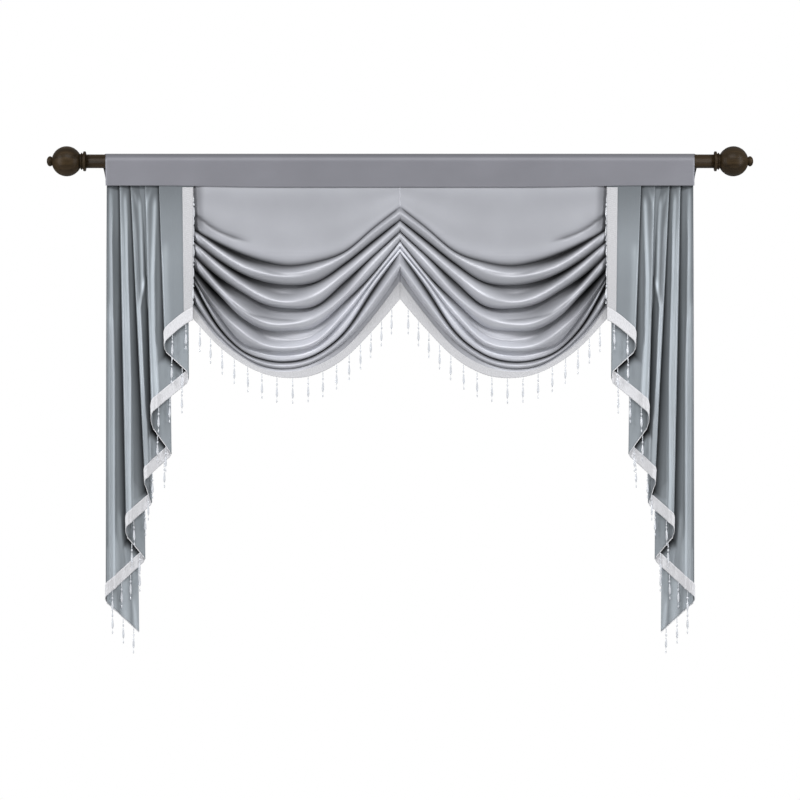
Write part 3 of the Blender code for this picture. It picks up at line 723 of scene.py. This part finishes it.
satin = satin_finish("silver grey satin", SATIN_COLOUR, 0.41, 0.12)
for word, side in SIDES:
    out = np.linspace(SWAG_END, CENTRE_GAP, SWAG_COLUMNS)
    drops, depths, shades = swag_surface(out)
    if word == "left":
        out = np.concatenate((out, SEAM_OUT))
        drops, depths, shades = (
            np.hstack((table, np.repeat(table[:, -1:], len(SEAM_OUT), axis=1)))
            for table in (drops, depths, shades))
        depths[:, -len(SEAM_OUT):] += SEAM_BACK
    points = place(side, out, drops, depths)
    pull = PULL * smoothstep((drops - PULL_FROM * curve_through(STATIONS, FOLD_LINES[0], out)) / PULL_OVER)
    swag = add_piece(
        f"gathered_swag_{word}", sheet_mesh(f"swag_{word}", points, flat_places(points, out), shades, pull),
        satin, "satin", f"swag_{word}")
    thicken(swag, SWAG_CLOTH)

# The tails: a length of the same satin at each end, folded back and forth under the header so that
# its slanting hem steps down in a cascade to a point near the outer edge.

TAIL_CLOTH = 1.0
# The swags' satin made a little darker and cooler for the tails, which are the same cloth: painted shade
TAIL_COLOUR = (0.350, 0.386, 0.418)
FOLD_RADIUS = 3.5
# The folds are flat under the header, and at their full depth from some way down
TOP_SQUEEZE = 0.4
SQUEEZE_CENTRE = -1.0
SQUEEZE_FROM = 66.0
SQUEEZE_END = 300.0
# Each crease, from the leading edge to the back edge: out at the header and at the hem, the hem's drop
# before and after its fold, the depths there, and the power by which the next section's depth grows
CREASES = (
    (526.8, 526.8, 403, 403, -26, -26, 1.0),
    (614, 598, 455, 486, -26, -19, 1.0),
    (541, 538, 535, 563, -17, -9, 3.0),
    (650, 632, 635, 680, -20, -13, 1.0),
    (592, 583, 739, 751, -5, 3, 3.0),
    (687, 649, 805, 832, -16, -9, 1.0),
    (638, 633, 864, 875, -2, 6, 2.0),
    (715, 697, 924, 958, -16, -9, 0.7),
    (658, 651, 1007, 1020, 9, 17, 2.5),
    (747.5, 749.5, 1102, 1125, -14, -7, 0.7),
    (679, 667, 1201, 1201, 21, 21, 1.0),
)
OUT_TOP, OUT_LOW, HEM_BEFORE, HEM_AFTER, DEPTH_BEFORE, DEPTH_AFTER, DEPTH_POWER = np.array(CREASES).T
SECTIONS = len(CREASES) - 1
HEM_CURL = 1.25
FACE_COLUMNS = 40
RETURN_COLUMNS = 12
FOLD_COLUMNS = 6
TAIL_ROWS = 134
# The row of points whose length across is the flat cloth's
FLAT_ROW = TAIL_ROWS // 3
SLOPE_STEP = 0.01
# Painted light: how light each section's plain cloth is painted near the header and further down
SECTION_LIGHT = np.array((0.66, 0.85, 0.52, 0.80, 0.48, 0.75, 0.52, 0.75, 0.66, 0.95))
LOW_LIGHT = np.array((0.66, 0.85, 0.64, 0.80, 0.62, 0.75, 0.62, 0.75, 0.86, 0.95))
LOW_LIGHT_FROM = 250.0
LOW_LIGHT_BY = 550.0
# Painted shade: over how much of a face the fold in front shades it, near the header and further down, and
# how far behind that fold's edge the light begins
SHADED = (9.0, 22.0)
LIGHT_BEHIND = 1.0
DARKEST = 0.04
# A face's least painted light where it hangs below the hem in front of it
BARE_LIGHT = 0.75
BARE_FROM = 5.0
BARE_OVER = 30.0
# A return's painted light beside its front crease
RETURN_LIGHT = 0.45
RETURN_SHADE_OVER = 30.0
# The painted light of the half-round folds
FOLD_EDGE_LIGHT = 0.66
# Painted shade: the tail is darker towards the header
TOP_DIMMING = 0.4
TOP_DIM_TO = 300.0
# Painted shade: the last face is darker at its outer edge, where it turns away from the light
LAST_FACE = 8
LAST_EDGE_SHADE = 0.45
LAST_EDGE_OUT = 738.0
LAST_EDGE_OVER = 8.0
# Soft folds down the tail's faces: section, rise, width and added painted light, and the line of each as
# (drop, out) places
RIDGES = (
    (0, 1.2, 8.0, 0.22, ((200, 598), (303, 596), (450, 590))),
    (2, 3.0, 4.5, 0.45, ((60, 650), (99, 647), (175, 645), (303, 643), (430, 640), (558, 631), (760, 622))),
    (2, 4.0, 5.0, 0.80, ((80, 624), (175, 626), (303, 630), (430, 629), (558, 622), (760, 612))),
    (4, 3.0, 4.5, 0.45, ((60, 688), (99, 684), (175, 679), (303, 674), (430, 668), (558, 662), (686, 656),
                         (900, 646))),
    (4, 4.0, 5.0, 0.75, ((80, 665), (175, 659), (303, 656), (350, 656))),
    (4, 3.5, 4.5, 0.60, ((285, 648), (335, 657), (372, 664), (430, 661), (558, 655), (686, 647), (900, 640))),
    (4, 2.0, 3.5, 0.35, ((60, 696), (85, 676), (130, 668))),
    (2, 2.0, 3.5, 0.35, ((60, 633), (110, 645), (150, 646))),
    (6, 3.0, 4.5, 0.45, ((50, 713), (99, 712), (175, 709), (303, 706), (430, 701), (558, 699), (813, 698),
                         (1100, 696))),
    (6, 4.0, 4.5, 0.75, ((70, 702), (175, 698), (303, 696), (430, 692), (558, 689), (813, 689), (1100, 684))),
    (8, 2.0, 3.0, 0.15, ((350, 743), (430, 742), (813, 741), (1100, 740), (1300, 739))),
    (8, 3.0, 4.5, 0.45, ((60, 739), (175, 738), (303, 735), (430, 734))),
    (8, 4.0, 4.0, 0.60, ((385, 735), (430, 733), (558, 730), (813, 730), (1000, 730), (1300, 727))),
    (8, 2.5, 6.0, 0.30, ((880, 716), (950, 712), (1010, 706), (1090, 700))),
    (9, -1.0, 5.0, -0.30, ((1020, 722), (1200, 716))),
    (9, 1.0, 7.0, 0.25, ((1010, 706), (1200, 700))),
    (9, -1.0, 5.0, -0.30, ((1010, 690), (1240, 684))),
    (9, 1.0, 4.0, 0.35, ((1100, 684), (1150, 678), (1220, 673))),
)
RIDGE_FADE = 40.0


def squeeze(drop):
    """How much of its full depth the tail has at a drop: it is gathered flat under the header."""
    return TOP_SQUEEZE + (1 - TOP_SQUEEZE) * smoothstep((drop - SQUEEZE_FROM) / (SQUEEZE_END - SQUEEZE_FROM))


def crease_out(i, drop):
    """Distance from the centre of crease i at a drop: it leans evenly from the header to the hem."""
    return OUT_TOP[i] + (OUT_LOW[i] - OUT_TOP[i]) * (drop - CLOTH_TOP) / (HEM_AFTER[i] - CLOTH_TOP)


def tail_path(section, share, drop):
    """Out and depth at shares along sections of the tail, over (rows, columns) of drops.

    Whole sections are the faces and returns between creases, inset by the fold's radius. A section
    with a half added is the half-round fold after it.
    """
    i = section.astype(int)
    folded = section > i
    grown = squeeze(drop)
    radius = FOLD_RADIUS * grown
    outward = np.where(i % 2 == 0, 1.0, -1.0)
    end_out = crease_out(i + 1, drop) - outward * radius * (i < SECTIONS - 1)
    start_out = crease_out(i, drop) + outward * radius * (i > 0)
    after, before, beyond = DEPTH_AFTER[i], DEPTH_BEFORE[i + 1], DEPTH_AFTER[i + 1]
    flat_out = start_out + (end_out - start_out) * share
    flat_depth = after + (before - after) * share ** DEPTH_POWER[i]
    round_out = end_out + outward * radius * np.sin(np.pi * share)
    round_depth = (before + beyond) / 2 - (beyond - before) / 2 * np.cos(np.pi * share)
    out = np.where(folded, round_out, flat_out)
    depth = np.where(folded, round_depth, flat_depth)
    return out, SQUEEZE_CENTRE + (depth - SQUEEZE_CENTRE) * grown


def soft_folds(section, out, drop):
    """Rise and added light of the soft folds on a face: each a bell curve across its own line."""
    rises, lights = np.zeros_like(out), np.zeros_like(out)
    for on, rise, width, light, line in RIDGES:
        levels, outs = (np.array(column, float) for column in zip(*line))
        kept = smoothstep((drop - levels[0]) / RIDGE_FADE) * smoothstep((levels[-1] - drop) / RIDGE_FADE)
        bell = (section == on) * kept * np.exp(-(((out - np.interp(drop, levels, outs)) / width) ** 2))
        rises += rise * bell
        lights += light * bell
    return rises * squeeze(drop), lights


def tail_places(section, share, drop, offset=0.0):
    """Out, drop and depth of points of the tail, moved by offset towards the cloth's right side.

    That side is at a right angle to the way that the path runs just before and after each point.
    """
    out, depth = tail_path(section, share, drop)
    out_low, depth_low = tail_path(section, np.maximum(share - SLOPE_STEP, 0.0), drop)
    out_high, depth_high = tail_path(section, np.minimum(share + SLOPE_STEP, 1.0), drop)
    along_out, along_depth = out_high - out_low, depth_high - depth_low
    length = np.hypot(along_out, along_depth)
    moved = offset + soft_folds(section, out, drop)[0]
    return out + along_depth / length * moved, drop, depth - along_out / length * moved


def hem_drop(section, share):
    """Drop of the hem: a slant along each section, bent on the first face and steeper round folds."""
    i = section.astype(int)
    bent = np.where(i == 0, share ** HEM_CURL, share)
    face = HEM_AFTER[i] + (HEM_BEFORE[i + 1] - HEM_AFTER[i]) * bent
    fold = HEM_BEFORE[i + 1] + (HEM_AFTER[i + 1] - HEM_BEFORE[i + 1]) * share
    return np.where(section > i, fold, face)


def tail_columns():
    """Sections and shares of the tail's columns, from the leading edge to the back edge."""
    parts = []
    for i in range(SECTIONS):
        count = FACE_COLUMNS if i % 2 == 0 or i == SECTIONS - 1 else RETURN_COLUMNS
        share = np.linspace(0.0, 1.0, count)
        parts.append((np.full(count, float(i)), share))
        if i < SECTIONS - 1:
            share = np.linspace(0.0, 1.0, FOLD_COLUMNS + 2)[1:-1]
            parts.append((np.full(FOLD_COLUMNS, i + 0.5), share))
    return tuple(np.concatenate(part) for part in zip(*parts))


def tail_shade(section, out, drop):
    """Painted shade, as a share of open light: each section's own, with the soft folds, and low beside the
    next fold edge.

    Below the hem of the section in front nothing covers the face any more.
    """
    i = section.astype(int)
    ahead = np.where(i % 2 == 0, np.maximum(i - 1, 0), i)
    edge, inner = crease_out(ahead, drop), crease_out(np.maximum(i, 1), drop)
    front_hem = hem_drop(ahead.astype(float), np.clip((edge - out) / np.maximum(edge - inner, 1.0), 0.0, 1.0))
    bare = BARE_LIGHT * smoothstep((drop - front_hem - BARE_FROM) / BARE_OVER)
    covered = (i % 2 == 0) & (section == i) & (i > 0)
    low = smoothstep((drop - LOW_LIGHT_FROM) / (LOW_LIGHT_BY - LOW_LIGHT_FROM))
    shaded = SHADED[0] + (SHADED[1] - SHADED[0]) * low
    open_light = np.where(covered, np.clip((out - edge + LIGHT_BEHIND) / shaded, DARKEST, 1.0), 1.0)
    behind = (i % 2 == 1) & (section == i) & (i < SECTIONS - 1)
    turned_away = RETURN_LIGHT + (1 - RETURN_LIGHT) * smoothstep((edge - out) / RETURN_SHADE_OVER)
    open_light = np.where(behind, turned_away, open_light)
    plain = SECTION_LIGHT[i] + (LOW_LIGHT[i] - SECTION_LIGHT[i]) * low
    light = np.where(section > i, FOLD_EDGE_LIGHT, plain + soft_folds(section, out, drop)[1])
    outer = (i == LAST_FACE) * smoothstep((out - LAST_EDGE_OUT) / LAST_EDGE_OVER)
    light = light * (1 - LAST_EDGE_SHADE * outer)
    light = light * (1 - TOP_DIMMING * smoothstep((TOP_DIM_TO - drop) / TOP_DIM_TO))
    return np.maximum(open_light * light, covered * bare)


tail_satin = satin_finish("silver grey tail satin", TAIL_COLOUR, 0.41, 0.12)
tail_section, tail_share = tail_columns()
for word, side in SIDES:
    reach = np.linspace(0.0, 1.0, TAIL_ROWS)[:, None]
    drop = CLOTH_TOP + (hem_drop(tail_section, tail_share)[None, :] - CLOTH_TOP) * reach
    out, drop, depth = tail_places(tail_section, tail_share, drop)
    points = place(side, out, drop, depth)
    steps = np.linalg.norm(np.diff(points[FLAT_ROW], axis=0), axis=-1)
    across = np.concatenate(([0.0], np.cumsum(steps))) / MM
    tail = add_piece(
        f"cascade_tail_{word}",
        sheet_mesh(
            f"tail_{word}", points, flat_places(points, across)[..., ::-1],
            tail_shade(tail_section, out, drop), PULL),
        tail_satin, "satin", f"tail_{word}")
    thicken(tail, TAIL_CLOTH)

# The braid: a silver-white woven gimp with a scalloped edge, sewn along the swags' hems, down each
# tail's leading edge and along its slanting hem.

BRAID_CLOTH = 1.0
BRAID_GAP = 0.7
BRAID_LIFT = BRAID_GAP + BRAID_CLOTH / 2
BRAID_WIDTH = 23.0
HEM_BRAID_HEIGHT = 34.0
BRAID_OVERLAP = 3.0
EDGE_BRAID_TOP = 67.0
BRAID_ROWS = 13
BRAID_STEP = 1.3
SWAG_BRAID_COLUMNS = 600
EDGE_BRAID_COLUMNS = 260
BRAID_COLOUR = (0.65, 0.65, 0.672)
# Painted light: the braid's colour is scaled by these on the swags, down the leading edges and where it shows
# along the returns
SWAG_BRAID_LIGHT = 0.82
EDGE_BRAID_LIGHT = 0.755
RETURN_BRAID_LIGHT = 1.4
# The weave: slanted threads a pitch apart between two twisted cords, whose places are shares of the
# braid's width
THREAD_PITCH = 5.0
THREAD_SLANT = 2.4
THREAD_HEIGHT = 0.30
# Painted shade in the weave's grooves, following the threads' slant
THREAD_SHADE = 0.07
CORD_PLACES = (0.10, 0.88)
CORD_WIDTH = 0.06
CORD_HEIGHT = 0.35
CORD_TWIST = 2.4
CORD_UNEVEN = 0.3
SCALLOP_LENGTH = 7.0
SCALLOP_DEPTH = 0.9


def braid_finish():
    """Matt woven thread: crossing slanted threads and a little fuzz in the relief, its colour darkened by the
    mesh's painted shade.
    """
    made, tree, shader = new_material("silver white braid")
    at = add_node(tree, "ShaderNodeTexCoord")
    cloud = add_node(tree, "ShaderNodeTexNoise", {
        "Vector": at.outputs["UV"], "Scale": 300.0, "Detail": 3.0})
    tone = add_node(tree, "ShaderNodeValToRGB", {"Fac": cloud.outputs["Fac"]})
    set_ramp(tone, ((0.3, tuple(np.multiply(BRAID_COLOUR, 0.86))), (0.65, BRAID_COLOUR)))
    colour_with_painted_shade(tree, tone, shader)
    relief = add_node(tree, "ShaderNodeBump", {
        "Height": cloud.outputs["Fac"], "Strength": 0.5, "Distance": 0.0006})
    tree.links.new(relief.outputs["Normal"], shader.inputs["Normal"])
    set_shader(shader, Roughness=0.7, Sheen_Weight=0.3)
    return made


def braid_relief(along, across):
    """Height and painted shade of the braid's weave at distances along it and shares across it.

    Slanted threads run to a point in the middle, like a row of chevrons, between two raised cords.
    """
    slant = np.sin(math.tau * (along / THREAD_PITCH + np.abs(across - 0.5) * THREAD_SLANT))
    cords = sum(np.exp(-(((across - at) / CORD_WIDTH) ** 2)) for at in CORD_PLACES)
    inside = smoothstep((across - CORD_PLACES[0]) / CORD_WIDTH - 1.0)
    inside = inside * smoothstep((CORD_PLACES[1] - across) / CORD_WIDTH - 1.0)
    twist = 1.0 + CORD_UNEVEN * np.sin(math.tau * along / CORD_TWIST)
    height = THREAD_HEIGHT * slant * inside + CORD_HEIGHT * cords * twist
    return height, 1.0 + THREAD_SHADE * (slant * inside - 1.0)


def scallops(along):
    """How far the braid's loose edge hangs out at distances along it: a row of small arches."""
    return SCALLOP_DEPTH * (np.abs(np.sin(math.pi * along / SCALLOP_LENGTH)) - 0.5)


def braid_places(along, across):
    """uv of a strip of braid from distances along it and shares across it."""
    return np.stack(np.broadcast_arrays(along * MM, across * BRAID_WIDTH * MM), axis=-1)


def swag_braid(side):
    """Points, flat places and shades of the braid on a swag's hem, from its gathered end inwards.

    It fills the band between the swag's two braid lines, in front of the cloth.
    """
    out = np.linspace(SWAG_END, CENTRE_GAP, SWAG_BRAID_COLUMNS)
    top = curve_through(STATIONS, BRAID_TOP, out)
    edge = curve_through(STATIONS, BRAID_EDGE, out)
    along = length_run(out, edge)
    across = np.linspace(0.0, 1.0, BRAID_ROWS)[:, None]
    relief, shade = braid_relief(along[None, :], across)
    drop = top + (edge + scallops(along) - top) * across
    depth = BRAID_TOP_DEPTH + (BRAID_EDGE_DEPTH - BRAID_TOP_DEPTH) * across
    depth = depth - (SWAG_CLOTH / 2 + BRAID_LIFT) - relief
    return place(side, out, drop, depth), braid_places(along, across), shade * SWAG_BRAID_LIGHT


def section_length(i):
    """Length of the hem along one section of a tail."""
    return math.hypot(OUT_LOW[i + 1] - OUT_LOW[i], HEM_BEFORE[i + 1] - HEM_AFTER[i])


def hem_columns():
    """Sections, shares and distances along the hem of the hem braid's columns, in even steps."""
    sections, shares, along, reached = [], [], [], 0.0
    for i in range(SECTIONS):
        count = int(section_length(i) / BRAID_STEP)
        sections.append(np.full(count, float(i)))
        shares.append(np.linspace(0.0, 1.0, count))
        along.append(reached + shares[-1] * section_length(i))
        reached += section_length(i)
        if i < SECTIONS - 1:
            turn = np.linspace(0.0, 1.0, FOLD_COLUMNS + 2)[1:-1]
            sections.append(np.full(FOLD_COLUMNS, i + 0.5))
            shares.append(turn)
            along.append(reached + turn * math.pi * FOLD_RADIUS)
            reached += math.pi * FOLD_RADIUS
    return np.concatenate(sections), np.concatenate(shares), np.concatenate(along)


def tail_hem_braid(side):
    """Points, flat places and shades of the braid along a tail's slanting hem.

    It is a band of one height above the hem, moved out from the cloth and following its folds.
    """
    section, share, along = hem_columns()
    across = np.linspace(0.0, 1.0, BRAID_ROWS)[:, None]
    relief, shade = braid_relief(along[None, :], across)
    shade = shade * np.where((section == section.astype(int)) & (section % 2 == 1), RETURN_BRAID_LIGHT, 1.0)
    low = hem_drop(section, share) + BRAID_OVERLAP
    drop = low - HEM_BRAID_HEIGHT * (1.0 - across) + scallops(along) * across
    offset = TAIL_CLOTH / 2 + BRAID_LIFT + relief
    out, drop, depth = tail_places(section, share, drop, offset)
    return place(side, out, drop, depth), braid_places(along, across), shade


def tail_edge_braid(side):
    """The same for the braid down the leading edge, which butts on the hem braid's top edge."""
    width = BRAID_WIDTH / (OUT_LOW[1] - OUT_LOW[0])
    across = np.linspace(0.0, 1.0, BRAID_ROWS)
    share = np.broadcast_to(width * (1.0 - across)[:, None], (BRAID_ROWS, EDGE_BRAID_COLUMNS))
    low = hem_drop(np.zeros(BRAID_ROWS), width * (1.0 - across)) - HEM_BRAID_HEIGHT + BRAID_OVERLAP
    down = np.linspace(0.0, 1.0, EDGE_BRAID_COLUMNS)
    drop = EDGE_BRAID_TOP + (low[:, None] - EDGE_BRAID_TOP) * down
    relief, shade = braid_relief(drop, across[:, None])
    shade = shade * EDGE_BRAID_LIGHT
    offset = TAIL_CLOTH / 2 + BRAID_LIFT + relief
    out, drop, depth = tail_places(np.zeros_like(share), share, drop, offset)
    out = out - scallops(drop) * across[:, None]
    return place(side, out, drop, depth), braid_places(drop, across[:, None]), shade


def add_braid(name, surface, *nodes):
    """A strip of braid from its points, flat places and shades, standing for the named CAD nodes."""
    strip = add_piece(name, sheet_mesh(name, *surface), braid, "braid", *nodes)
    thicken(strip, BRAID_CLOTH)
    return strip


braid = braid_finish()
swag_strips, hem_strips, edge_strips = {}, {}, {}
for word, side in SIDES:
    swag_strips[word] = add_braid(f"swag_braid_{word}", swag_braid(side), f"swag_trim_{word}")
    hem_strips[word] = add_braid(f"tail_hem_braid_{word}", tail_hem_braid(side), f"tail_trim_{word}")
    edge_strips[word] = add_braid(f"tail_edge_braid_{word}", tail_edge_braid(side))

# The bead fringe: nylon threads hanging from the braid's loose edge, each with three seed beads, a
# round bead, a long faceted drop and a small end bead of clear acrylic.

STRAND_PITCH = 36.0
SWAG_STRANDS = 16
SWAG_END_PITCH = 0.8
STRAND_LEAN = 0.012
LEAN_SEED = 5
BEAD_SIDES = 7
EDGE_SAMPLES = 400
EDGE_STRAND_DROPS = (92.0, 140.0, 192.0, 246.0, 300.0)
EDGE_STRAND_OUT = 1.0
# One strand from the braid down: (drop, radius)
STRAND = (
    (-2.0, 0.45), (2.4, 0.45), (2.8, 1.0), (4.2, 1.4), (5.6, 1.0), (6.0, 0.5), (6.4, 1.0), (7.8, 1.4),
    (9.2, 1.0), (9.6, 0.5), (10.0, 1.0), (11.4, 1.4), (12.8, 1.0), (13.2, 0.45), (15.4, 0.45),
    (15.8, 1.1), (17.2, 2.1), (19.0, 2.4), (20.8, 2.1), (22.2, 1.1), (22.6, 0.4), (25.0, 0.4),
    (25.4, 1.0), (29.5, 1.9), (36.0, 2.6), (43.0, 2.95), (47.0, 2.7), (50.5, 1.7), (52.0, 0.7),
    (52.3, 0.35), (57.6, 0.35), (58.0, 0.9), (59.6, 1.6), (61.6, 1.8), (63.6, 1.6), (65.2, 0.9),
    (65.8, 0.3))


def bead_finish():
    """Clear acrylic: mostly see-through, a little milky, with a hard gloss."""
    made, tree, shader = new_material("clear acrylic beads")
    set_shader(
        shader, Base_Color=(0.78, 0.80, 0.84, 1.0), Roughness=0.12, IOR=1.49, Transmission_Weight=0.35)
    return made


def strands_mesh(name, roots, lean):
    """Bead strands at roots (strands, 3) in metres: the strand's rings of each radius down a line.

    The line leans by lean (strands, 2) metres a metre.
    """
    drops, radii = (np.array(column) * MM for column in zip(*STRAND))
    angle = np.linspace(0.0, math.tau, BEAD_SIDES, endpoint=False)
    ring = np.stack((np.cos(angle), np.sin(angle)), axis=-1)
    points = np.zeros((len(roots), len(drops), BEAD_SIDES, 3))
    points[..., :2] = (
        roots[:, None, None, :2] + lean[:, None, None, :] * drops[None, :, None, None]
        + radii[None, :, None, None] * ring)
    points[..., 2] = roots[:, 2, None, None] - drops[None, :, None]
    mesh = tube_mesh(name, points)
    mesh.shade_flat()
    return mesh


def swag_strand_roots(side):
    """Where strands hang from a swag's braid: even steps along its edge."""
    fine = np.linspace(SWAG_END, CENTRE_GAP, EDGE_SAMPLES)
    edge = curve_through(STATIONS, BRAID_EDGE, fine)
    along = length_run(fine, edge)
    step = along[-1] / (SWAG_STRANDS - 1 + 2 * SWAG_END_PITCH)
    out = np.interp(step * (np.arange(SWAG_STRANDS) + SWAG_END_PITCH), along, fine)
    depth = BRAID_EDGE_DEPTH - (SWAG_CLOTH / 2 + BRAID_LIFT)
    return place(side, out, curve_through(STATIONS, BRAID_EDGE, out), depth)


def tail_strand_roots(side):
    """Where strands hang from a tail's braid: even steps along each section, and down the edge."""
    counts = [max(round(section_length(i) / STRAND_PITCH), 1) for i in range(SECTIONS)]
    section = np.repeat(np.arange(SECTIONS, dtype=float), counts)
    share = np.concatenate([(np.arange(count) + 0.5) / count for count in counts])
    offset = TAIL_CLOTH / 2 + BRAID_LIFT
    out, drop, depth = tail_places(section, share, hem_drop(section, share) + BRAID_OVERLAP, offset)
    hem = place(side, out, drop, depth)
    drop = np.array(EDGE_STRAND_DROPS)
    out, drop, depth = tail_places(np.zeros_like(drop), np.zeros_like(drop), drop, offset)
    return np.vstack((hem, place(side, out - EDGE_STRAND_OUT, drop, depth)))


def add_strands(name, roots):
    """The bead strands that hang from roots, each with a small random lean."""
    lean = random.normal(0, STRAND_LEAN, (len(roots), 2))
    return add_piece(name, strands_mesh(name, roots, lean), acrylic, "bead")


acrylic = bead_finish()
random = np.random.default_rng(LEAN_SEED)
for word, side in SIDES:
    swag_beads = add_strands(f"swag_beads_{word}", swag_strand_roots(side))
    tail_beads = add_strands(f"tail_beads_{word}", tail_strand_roots(side))
